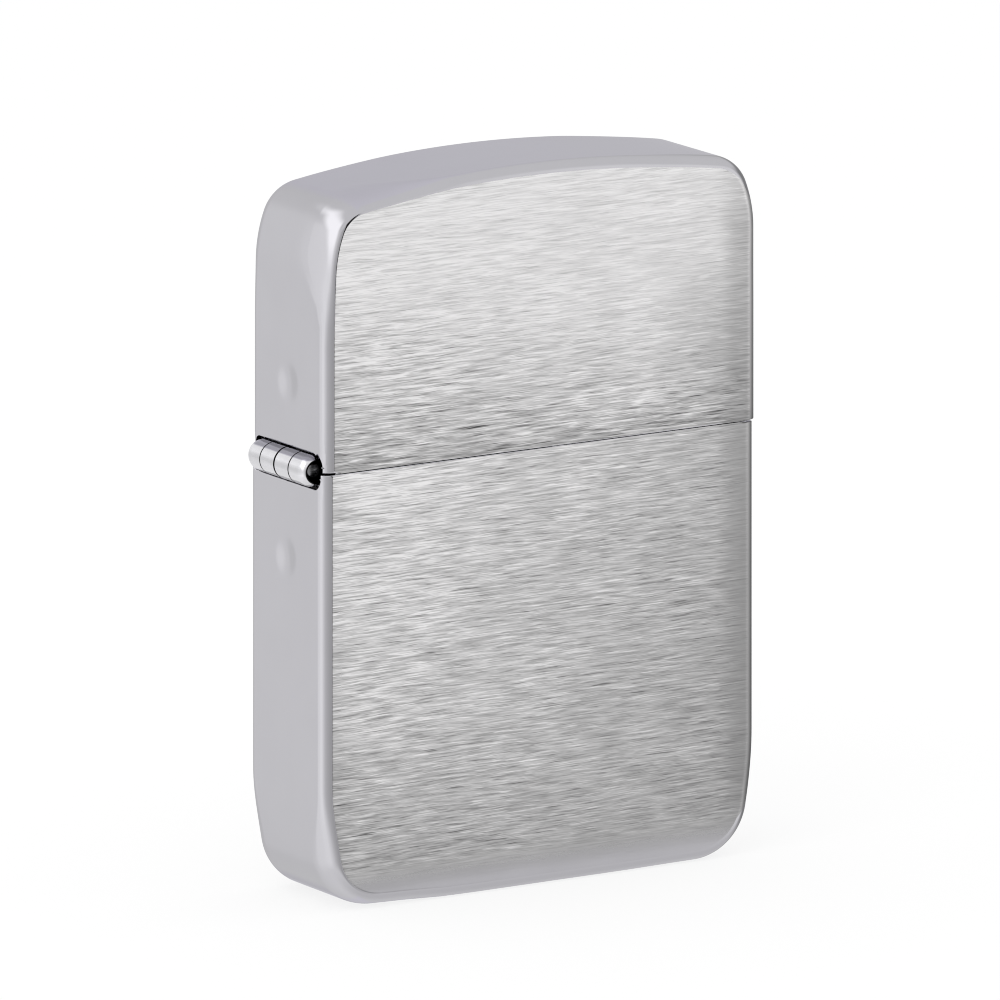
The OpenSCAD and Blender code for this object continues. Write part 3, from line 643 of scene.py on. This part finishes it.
def arc_path(cx, cz, r, a0, a1, n, ends=(True, True)):
    pts = []
    for k in range(n + 1):
        if (k == 0 and not ends[0]) or (k == n and not ends[1]):
            continue
        a = math.radians(a0 + (a1 - a0) * k / n)
        pts.append((cx + r * math.cos(a), cz + r * math.sin(a), math.cos(a), math.sin(a)))
    return pts


HZ = 34.56
# case: right seam end, down, along the bottom, up the hinge side
fa = math.degrees(math.atan2(13, 84))
case_path = [(19.0, z, 1.0, 0.0) for z in (34.44, 34.2, 33.4, 32, 29, 25, 21, 17, 13)]
case_path += arc_path(-21.015, 10.063, 40.015, 0, -fa, 10)
case_path += arc_path(13.929, 4.655, 4.655, -fa, -90, 30, (False, True))
case_path += [(13.929 - 27.858 * k / 10, 0.0, 0.0, -1.0) for k in range(1, 10)]
case_path += arc_path(-13.929, 4.655, 4.655, -90, -180 + fa, 30)
case_path += arc_path(21.015, 10.063, 40.015, -180 + fa, -180, 10, (False, True))
left_z = [12.0, 14.5, 17, 19.5, 22, 24, 24.7] + dense(HZ - 7.4) + [29.7, 30.4, 31.2, 32.0, 32.5, 32.97, 33.19, 33.34, 33.5, 33.7, 33.9, 34.09, 34.25, 34.44]
case_path += [(-19.0, z, -1.0, 0.0) for z in left_z]
case_obj = shell("case_body_shell", case_path, 34.44, 32.97, 33.19, 34.09, 4.9, 0.9, HZ - 7.4, M["case"], ["case_body"], "case", case_corner, ((2.6, 1.9, 1.15, 0.0), (1.2, 1.2, 0.95, 0.0)))

# lid: hinge side seam end, up, over the dome, down the right side
sa = math.degrees(math.atan2(44, 117))
da = math.degrees(math.atan2(143, 24))
left_z = [34.59, 34.8, 35.03, 35.25, 35.45, 35.62, 35.78, 35.93, 36.15, 36.8, 37.5, 38.3] + dense(HZ + 6.3) + [43.5, 44.5, 46, 47.5, 49]
lid_path = [(-19.0, z, -1.0, 0.0) for z in left_z]
lid_path += arc_path(-8.0775, 49.715, 10.9225, 180, 180 - sa, 10)
lid_path += arc_path(-15.156, 52.377, 3.36, 180 - sa, 180 - da, 22, (False, True))
lid_path += arc_path(0, -37.9275, 94.9275, 180 - da, da, 44, (False, True))
lid_path += arc_path(15.156, 52.377, 3.36, da, sa, 22, (False, True))
lid_path += arc_path(8.0775, 49.715, 10.9225, sa, 0, 10, (False, True))
lid_path += [(19.0, z, 1.0, 0.0) for z in (47, 44, 41, 38, 36, 35.2, 34.85, 34.59)]
lid_obj = shell("lid_shell", lid_path, 34.59, 36.15, 35.93, 35.03, 4.9, 0.9, HZ + 6.3, M["lid"], ["lid"], "lid", lid_corner, ((5.3, 1.5, 1.05, 0.08), (1.3, 2.4, 0.9, 0.11)), shift=0.16)

# ---------------------------------------------------------------------------
# Hinge
# ---------------------------------------------------------------------------

HX = -18.76


def knuckle(bm, y0, y1, open0=False, open1=False):
    """One rolled knuckle. An open end is flared and rounded, round a wide recess with the pin's end deep inside."""
    def end(y, d, is_open):
        if not is_open:
            return [(0.62, y), (1.17, y), (1.235, y + d * 0.012), (1.28, y + d * 0.055)]
        pts = [(0.62, y + d * 1.30), (0.74, y + d * 1.27), (0.775, y + d * 1.15), (0.775, y + d * 0.34), (0.79, y + d * 0.16), (0.83, y + d * 0.03)]
        return pts + [(0.88 + 0.40 * math.sin(math.radians(a)), y + d * 0.95 * (1 - math.cos(math.radians(a)))) for a in (0, 14, 28, 42, 56, 68, 79, 90)]
    a, b = end(y0, 1, open0), end(y1, -1, open1)
    s0, s1 = y0 + (1.0 if open0 else 0.2), y1 - (1.0 if open1 else 0.2)
    span = [(1.28, s0 + (s1 - s0) * k / 3) for k in range(4)]
    lathe(bm, a + span + b[::-1], 72, (HX, 0, HZ), "y")


def prism_x(bm, pts, x0, x1, bevel=0.0, segments=2):
    """Plate drawn in y and z between x0 and x1, edges rounded."""
    a = [bm.verts.new((x0, y, z)) for y, z in pts]
    b = [bm.verts.new((x1, y, z)) for y, z in pts]
    faces = [bm.faces.new(a), bm.faces.new(b[::-1])]
    for k in range(len(pts)):
        j = (k + 1) % len(pts)
        faces.append(bm.faces.new([a[j], a[k], b[k], b[j]]))
    if bevel:
        edges = [e for e in set(e for f in faces[:2] for e in f.edges)]
        bmesh.ops.bevel(bm, geom=edges, offset=bevel, offset_type="OFFSET", segments=segments, profile=0.5, affect="EDGES", clamp_overlap=True)


def leaf(bm, s, x, spans):
    z1, z2, zt = HZ + s * 1.44, HZ + s * 10.4, HZ + s * 0.9
    pts = [(-4.9, z1)]
    for y0, y1 in spans:
        for p in ((y0, z1), (y0, zt), (y1, zt), (y1, z1)):
            if p != pts[-1]:
                pts.append(p)
    if pts[-1] != (4.9, z1):
        pts.append((4.9, z1))
    for c, a0 in ((3.9, 0), (-3.9, 90)):
        pts += [(c + math.cos(math.radians(a0 + 15 * k)), z2 - s + s * math.sin(math.radians(a0 + 15 * k))) for k in range(7)]
    prism_x(bm, pts, x, x + 0.45, 0.07, 2)


bm = bmesh.new()
knuckle(bm, -4.9, -2.485, open0=True)
knuckle(bm, 0.075, 2.415)
leaf(bm, -1, -18.35, [(-4.9, -2.48), (0.06, 2.42)])
finish_mesh(bm, "hinge_leaf_case_side", "case", M["hinge"], ["hinge_leaf_body"])
bm = bmesh.new()
knuckle(bm, -2.425, -0.075)
knuckle(bm, 2.465, 4.9, open1=True)
leaf(bm, 1, -18.19, [(-2.42, -0.06), (2.48, 4.9)])
finish_mesh(bm, "hinge_leaf_lid_side", "lid", M["hinge"], ["hinge_leaf_lid"])

bm = bmesh.new()
pin = [(0.0, -4.36)] + [(0.6 * math.sin(math.radians(a)), -4.34 + 0.16 * (1 - math.cos(math.radians(a)))) for a in (25, 45, 62, 78, 90)]
pin += [(0.6, y) for y in (-4.0, -2, 0, 2, 4.0)]
pin += [(0.6 * math.sin(math.radians(a)), 4.34 - 0.16 * (1 - math.cos(math.radians(a)))) for a in (90, 78, 62, 45, 25)] + [(0.0, 4.36)]
lathe(bm, pin, 40, (HX, 0, HZ), "y", closed=False)
finish_mesh(bm, "hinge_pin_rod", "case", M["pin"], ["hinge_pin"])

# ---------------------------------------------------------------------------
# Insert, chimney and what is fixed to them
# ---------------------------------------------------------------------------

refine("insert_case", "insert_can", M["insert"], 0.35, 4,
       rule=lambda p: 1.0 if p.z > 36.3 and (abs(p.y) > 5.3 or p.x < -17.2 or p.x > 17.8) else 0.2)
refine("chimney", "chimney_screen", M["chimney"], 0.09, 2)
refine("wheel_rivet", "wheel_axle_rivet", M["rivet"], 0.22, 4, rule=lambda p: 1.0 if abs(p.y) > 3.2 else 0.2)
refine("cam_rivet", "cam_axle_rivet", M["rivet"], 0.18, 4, rule=lambda p: 1.0 if abs(p.y) > 2.4 else 0.2)
refine("cam", "lid_cam", M["cam"], 0.12, 3)
refine("cam_spring", "cam_leaf_spring", M["spring"], 0.05, 2)
refine("cam_spring_rivet", "cam_spring_rivet_head", M["rivet"], 0.14, 3)
refine("wick_eyelet", "wick_eyelet_brass", M["brass"], 0.10, 3)
refine("flint_tube", "flint_tube_brass", M["brass"], 0.08, 2)
refine("flint", "flint_stick", M["flint"], 0.10, 2)
refine("flint_plunger", "flint_plunger_tip", M["brass"], 0.12, 3)
refine("flint_screw", "flint_screw_slotted", M["screw"], 0.14, 3)


def wheel_radius(y, t):
    """Outer radius of the spark wheel at height y and angle t: coarse thumb ribs outside, crossed file teeth between."""
    a = abs(y)
    if a > 1.243:
        k = (t * 26 / (2 * math.pi)) % 1.0
        rib = min(1.0, 2.6 * abs(2 * k - 1) ** 0.9)
        edge = 0.16 * max(0.0, (a - 2.1) / 0.2) + 0.12 * max(0.0, (1.34 - a) / 0.1)
        return 2.76 + 0.34 * rib - edge
    slant = 0.16 * abs((y + 5.0) / 0.8 % 1.0 - 0.5)
    k = (t * 44 / (2 * math.pi) + slant * 44 / (2 * math.pi)) % 1.0
    return 2.82 + 0.14 * (1.0 - k) - 0.05 * abs(math.sin(y * math.pi / 0.4))


bm = bmesh.new()
wx, wz, nt = 11.6, 42.4, 572
ys = [-2.3, -2.2, -2.1, -1.9, -1.6, -1.42, -1.34, -1.25] + [-1.2 + 0.1 * k for k in range(25)] + [1.25, 1.34, 1.42, 1.6, 1.9, 2.1, 2.2, 2.3]
inner = [(2.38, 2.3), (2.28, 2.17), (1.62, 2.17), (1.54, 2.3), (1.02, 2.3), (0.94, 2.22), (0.94, 0.0), (0.94, -2.22), (1.02, -2.3), (1.54, -2.3), (1.62, -2.17), (2.28, -2.17), (2.38, -2.3)]
rings = []
for y in ys:
    rings.append([_place(bm, wheel_radius(y, 2 * math.pi * k / nt) * math.cos(2 * math.pi * k / nt), wheel_radius(y, 2 * math.pi * k / nt) * math.sin(2 * math.pi * k / nt), y, (wx, 0, wz), "y") for k in range(nt)])
for r, y in inner:
    rings.append([_place(bm, r * math.cos(2 * math.pi * k / nt), r * math.sin(2 * math.pi * k / nt), y, (wx, 0, wz), "y") for k in range(nt)])
for ra, rb in zip(rings, rings[1:] + rings[:1]):
    for k in range(nt):
        j = (k + 1) % nt
        bm.faces.new([ra[k], ra[j], rb[j], rb[k]])
finish_mesh(bm, "spark_wheel", body_of("flint_wheel"), M["wheel"], ["flint_wheel"], 32.0)


def tube(bm, path, radius, n, up=Vector((0, 1, 0)), caps=True):
    """Round bar along a path of points; radius(i, angle) may vary."""
    rings = []
    for i, p in enumerate(path):
        d = (path[min(i + 1, len(path) - 1)] - path[max(i - 1, 0)]).normalized()
        u = d.cross(up).normalized()
        w_ = u.cross(d).normalized()
        ring_ = []
        for k in range(n):
            t = 2 * math.pi * k / n
            r = radius(i, t)
            ring_.append(bm.verts.new(p + (u * math.cos(t) + w_ * math.sin(t)) * r))
        rings.append(ring_)
    for ra, rb in zip(rings, rings[1:]):
        for k in range(n):
            j = (k + 1) % n
            bm.faces.new([ra[k], ra[j], rb[j], rb[k]])
    if caps:
        bm.faces.new(rings[0][::-1])
        bm.faces.new(rings[-1])
    return rings


# the wick: braided cord from above the eyelet down through the cotton, its top cut and a little frayed
cord = [Vector((-1.0, 0, 46.35 - 0.15 * k)) for k in range(136)]
cord += [Vector((-5 + 4 * math.cos(math.radians(-a)), 0, 26 + 4 * math.sin(math.radians(-a)))) for a in [2.25 * k for k in range(1, 41)]]
cord += [Vector((-5 - 0.15 * k, 0, 22)) for k in range(1, 34)]
cord += [Vector((-10.2 + 5 * math.cos(math.radians(a)), 0, 17 + 5 * math.sin(math.radians(a)))) for a in [90 + 1.8 * k for k in range(0, 101)]]
cord += [Vector((-10.2 + 0.15 * k, 0, 12)) for k in range(1, 87)]
run = [0.0]
for p, q in zip(cord, cord[1:]):
    run.append(run[-1] + (q - p).length)


def braid(i, t):
    s_ = run[i]
    a, b = 6 * t + s_ * 2 * math.pi / 2.6, 6 * t - s_ * 2 * math.pi / 2.6
    over = 0.5 + 0.5 * math.sin(a * 0.5) * math.sin(b * 0.5)
    lift = over * abs(math.cos(a / 2)) + (1 - over) * abs(math.cos(b / 2))
    tip = 0.10 * max(0.0, 1 - s_ / 0.5) ** 2
    return 1.27 + 0.125 * lift + 0.02 * noise.noise(Vector((t * 5, s_ * 3, 1.0))) - tip


bm = bmesh.new()
tube(bm, cord, braid, 40)
for k in range(64):
    a = k * 2.39996
    r0 = 1.12 * math.sqrt((k + 0.5) / 64)
    h = 0.45 + 0.32 * noise.noise(Vector((k * 1.7, 3.1, 0.0)))
    lean = 0.10 + 0.30 * abs(noise.noise(Vector((k * 0.9, 8.3, 2.0))))
    base = Vector((-1 + r0 * math.cos(a), r0 * math.sin(a), 46.2))
    side = Vector((math.cos(a + 0.6), math.sin(a + 0.6), 0))
    hair = [base + Vector((0, 0, h * 1.5 * q)) + side * lean * q * q for q in (0, 0.35, 0.7, 1.0)]
    tube(bm, hair, lambda i, t: (0.085, 0.075, 0.055, 0.02)[i], 6)
finish_mesh(bm, "wick_braid", body_of("wick"), M["wick"], ["wick"], 60.0, weighted=False)


def soften(o, voxel, depth, size):
    """Fibrous surface: an even mesh pressed in by a cloudy pattern."""
    r = o.modifiers.new("even", "REMESH")
    r.mode = "VOXEL"
    r.voxel_size = voxel * MM
    r.use_smooth_shade = True
    tex = bpy.data.textures.new(o.name + "_lumps", "CLOUDS")
    tex.noise_scale = size * MM
    tex.noise_depth = 3
    d = o.modifiers.new("lumps", "DISPLACE")
    d.texture = tex
    d.texture_coords = "LOCAL"
    d.strength = -depth * MM
    d.mid_level = 0.0


felt = refine("felt_pad", "felt_pad_soft", M["felt"], 0.3, 3)
soften(felt, 0.16, 0.14, 0.5)
wads = refine("cotton_wads", "cotton_wads_soft", M["cotton"], 0.0)
soften(wads, 0.22, 0.55, 1.3)

# the flint spring: round wire, its end turns closed
bm = bmesh.new()
turns, per = 17.0, 28
coil = []
for k in range(int(turns * per) + 1):
    t = k / per
    ends = 1.3 * 0.35
    if t < 1.3:
        z = 0.35 * t
    elif t > turns - 1.3:
        z = 22.81 - 0.35 * (turns - t)
    else:
        z = ends + (22.81 - 2 * ends) * (t - 1.3) / (turns - 2.6)
    coil.append(Vector((11.6 + 0.92 * math.cos(2 * math.pi * t), 0.92 * math.sin(2 * math.pi * t), 8.22 + z)))
tube(bm, coil, lambda i, t: 0.17, 12, up=Vector((0, 0, 1)))
spring = finish_mesh(bm, "flint_spring_coil", body_of("flint_spring"), M["spring"], ["flint_spring"], 40.0, weighted=False)
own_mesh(spring)

# ---------------------------------------------------------------------------
# Floor, light, camera
# ---------------------------------------------------------------------------

sc = bpy.context.scene
sc.view_settings.view_transform = "Standard"
sc.view_settings.look = "None"
if hasattr(sc, "cycles"):
    sc.cycles.filter_width = 1.05

bm = bmesh.new()
bmesh.ops.create_grid(bm, x_segments=2, y_segments=2, size=30.0)
me = bpy.data.meshes.new("floor")
bm.to_mesh(me)
bm.free()
floor = bpy.data.objects.new("floor", me)
sc.collection.objects.link(floor)
floor.location = (0, 0, -0.00002)
fm = bpy.data.materials.new("floor_pale")
fm.use_nodes = True
t = fm.node_tree
t.nodes.clear()
out = t.nodes.new("ShaderNodeOutputMaterial")
dif = t.nodes.new("ShaderNodeBsdfDiffuse")
dif.inputs[0].default_value = (0.93, 0.93, 0.93, 1)
tr = t.nodes.new("ShaderNodeBsdfTransparent")
lp = t.nodes.new("ShaderNodeLightPath")
mx = t.nodes.new("ShaderNodeMixShader")
t.links.new(lp.outputs["Is Glossy Ray"], mx.inputs[0])
glow = t.nodes.new("ShaderNodeEmission")
glow.inputs[0].default_value = (1.0, 1.0, 1.0, 1)
half = t.nodes.new("ShaderNodeMixShader")
half.inputs[0].default_value = 0.8
t.links.new(dif.outputs[0], half.inputs[1])
t.links.new(glow.outputs[0], half.inputs[2])
t.links.new(half.outputs[0], mx.inputs[1])
t.links.new(tr.outputs[0], mx.inputs[2])
t.links.new(mx.outputs[0], out.inputs[0])
me.materials.append(fm)

# The studio as the metal sees it, by direction. Azimuth runs from -X (0) to the front, -Y (90).
w = bpy.data.worlds.new("studio")
sc.world = w
w.use_nodes = True
t = w.node_tree
t.nodes.clear()


def wn(kind, op=None, **kw):
    n = t.nodes.new(kind)
    if op:
        n.operation = op
    for k, v in kw.items():
        setattr(n, k, v)
    return n


def wm(op, a, b=0.0):
    n = wn("ShaderNodeMath", op)
    for s, v in zip(n.inputs, (a, b)):
        if isinstance(v, (int, float)):
            s.default_value = v
        else:
            t.links.new(v, s)
    return n.outputs[0]


def wramp(value, stops, mode="LINEAR"):
    n = wn("ShaderNodeValToRGB")
    n.color_ramp.interpolation = mode
    el = n.color_ramp.elements
    while len(el) > 1:
        el.remove(el[-1])
    el[0].position, el[0].color = stops[0][0], (stops[0][1],) * 3 + (1,)
    for p, c in stops[1:]:
        e = el.new(p)
        e.color = (c, c, c, 1)
    t.links.new(value, n.inputs[0])
    return n.outputs[0]


tc = wn("ShaderNodeTexCoord")
sep = wn("ShaderNodeSeparateXYZ")
t.links.new(tc.outputs["Generated"], sep.inputs[0])
az = wm("ARCTAN2", wm("MULTIPLY", sep.outputs[1], -1.0), wm("MULTIPLY", sep.outputs[0], -1.0))
az01 = wm("ADD", wm("MULTIPLY", az, 0.5 / math.pi), 0.5)


def A(deg):
    return (deg + 180.0) / 360.0


azd = wm("MULTIPLY", az, 180.0 / math.pi)
eld = wm("MULTIPLY", wm("ARCSINE", sep.outputs[2]), 180.0 / math.pi)
up = wm("ADD", eld, 10.0)


def wstep(value, lo, hi, a=0.0, b=1.0):
    n = wn("ShaderNodeMapRange")
    n.interpolation_type = "SMOOTHSTEP"
    for key, v in (("Value", value), ("From Min", lo), ("From Max", hi), ("To Min", a), ("To Max", b)):
        if isinstance(v, (int, float)):
            n.inputs[key].default_value = v
        else:
            t.links.new(v, n.inputs[key])
    return n.outputs["Result"]


def wmix(fac, a, b):
    n = wn("ShaderNodeMix")
    n.data_type = "FLOAT"
    for s_, v in ((n.inputs[0], fac), (n.inputs[2], a), (n.inputs[3], b)):
        if isinstance(v, (int, float)):
            s_.default_value = v
        else:
            t.links.new(v, s_)
    return n.outputs[0]


ring = wramp(az01, [(A(-180), 0.17), (A(-150), 0.20), (A(-128), 0.30), (A(-121), 0.445), (A(-112), 0.465), (A(-82), 0.462), (A(-74), 0.465), (A(-66), 0.502), (A(-58), 0.510), (A(-50), 0.565), (A(-30), 0.58), (A(-14), 0.62), (A(2), 0.62),
                    (A(12), 0.55), (A(22), 0.49), (A(41), 0.385), (A(61), 0.335), (A(82), 0.30), (A(101), 0.27), (A(112), 0.44), (A(118), 0.54), (A(148), 0.55), (A(164), 0.34), (A(180), 0.17)])
level = wm("MULTIPLY", ring, 2.0)
# the wall behind is a little dimmer near the table
back_m = wm("MULTIPLY", wstep(azd, -126.0, -118.0), wstep(azd, -108.0, -92.0, 1.0, 0.0))
level = wm("MULTIPLY", level, wmix(back_m, 1.0, wstep(eld, -4.0, 13.0, 0.80, 1.0)))
level = wmix(wstep(eld, 14.0, 30.0), level, 0.905)
level = wmix(wstep(eld, -40.0, -20.0, 1.0, 0.0), level, 1.02)
# soft box at the left: a narrow strip low down that opens into a large bright canopy above the left shoulder
lower = wm("SUBTRACT", 29.2, wm("MULTIPLY", wm("MAXIMUM", wm("ADD", azd, 60.0), 0.0), 0.72))
lower = wm("MAXIMUM", lower, -9.0)
rise = wm("SUBTRACT", eld, lower)
canopy = wm("MULTIPLY", wstep(rise, -2.0, 9.0), wm("MULTIPLY", wstep(azd, -88.0, -62.0), wstep(azd, -8.0, 12.0, 1.0, 0.0)))
canopy = wm("MULTIPLY", canopy, wstep(eld, 38.0, 60.0, 1.0, 0.0))
canopy = wm("MULTIPLY", canopy, wm("SUBTRACT", 1.0, wm("MULTIPLY", wstep(eld, 33.0, 41.0), wstep(azd, -82.0, -62.0, 1.0, 0.0))))
level = wmix(canopy, level, wstep(up, 1.0, 26.0, 1.15, 1.65))
# narrow dark flag in front
centre = wm("SUBTRACT", 110.5, wm("MULTIPLY", up, 0.62))
half_d = wm("ADD", wm("MULTIPLY", wm("MAXIMUM", up, 0.0), 0.42), 3.6)
dn = wm("DIVIDE", wm("ABSOLUTE", wm("SUBTRACT", azd, centre)), half_d)
dark_m = wm("MULTIPLY", wstep(dn, 0.8, 1.0, 1.0, 0.0), wm("MULTIPLY", wstep(eld, 18.0, 28.0, 1.0, 0.0), wstep(eld, -19.0, -13.0)))
level = wmix(dark_m, level, 0.02)
env = wn("ShaderNodeBackground")
env.inputs[1].default_value = 1.0
tint = wn("ShaderNodeMix")
tint.data_type = "RGBA"
tint.blend_type = "MULTIPLY"
t.links.new(back_m, tint.inputs[0])
t.links.new(level, tint.inputs[6])
tint.inputs[7].default_value = (0.995, 0.983, 1.045, 1)
t.links.new(tint.outputs[2], env.inputs[0])
plain = wn("ShaderNodeBackground")
plain.inputs[0].default_value = (1, 1, 1, 1)
plain.inputs[1].default_value = 1.03
lp = wn("ShaderNodeLightPath")
mx = wn("ShaderNodeMixShader")
t.links.new(lp.outputs["Is Glossy Ray"], mx.inputs[0])
t.links.new(plain.outputs[0], mx.inputs[1])
t.links.new(env.outputs[0], mx.inputs[2])
wo = wn("ShaderNodeOutputWorld")
t.links.new(mx.outputs[0], wo.inputs[0])


def area(name, loc, size, power, target=(0, 0, 0.03)):
    d = bpy.data.lights.new(name, "AREA")
    d.shape = "RECTANGLE"
    d.size, d.size_y = size
    d.energy = power
    o = bpy.data.objects.new(name, d)
    sc.collection.objects.link(o)
    o.location = loc
    o.rotation_mode = "QUATERNION"
    o.rotation_quaternion = (Vector(target) - Vector(loc)).to_track_quat("-Z", "Y")
    o.visible_glossy = False
    return o


area("key_soft", (-0.5, -0.4, 0.8), (0.6, 0.6), 1.6)

cam_data = bpy.data.cameras.new("camera")
cam = bpy.data.objects.new("camera", cam_data)
sc.collection.objects.link(cam)
CAM = (-0.647838, -1.255711, 0.301245)
cam.location = CAM
cam.rotation_mode = "XYZ"
cam.rotation_euler = (math.radians(90), 0, math.radians(-37.0))
cam_data.sensor_width = 36.0
cam_data.sensor_fit = "HORIZONTAL"
cam_data.lens = 17.563412 * 36.0
cam_data.clip_start, cam_data.clip_end = 0.01, 100.0
for prop, value in (("shift_x", -3.0089266), ("shift_y", -3.4281406)):
    drv = cam_data.driver_add(prop).driver
    drv.type = "SCRIPTED"
    for nm, kind in (("x", "LOC_X"), ("y", "LOC_Y"), ("z", "LOC_Z")):
        var = drv.variables.new()
        var.name = nm
        var.type = "TRANSFORMS"
        var.targets[0].id = cam
        var.targets[0].transform_type = kind
        var.targets[0].transform_space = "WORLD_SPACE"
    drv.expression = f"{value} if abs(x - ({CAM[0]})) + abs(y - ({CAM[1]})) + abs(z - ({CAM[2]})) < 0.001 else 0.0"
sc.camera = cam
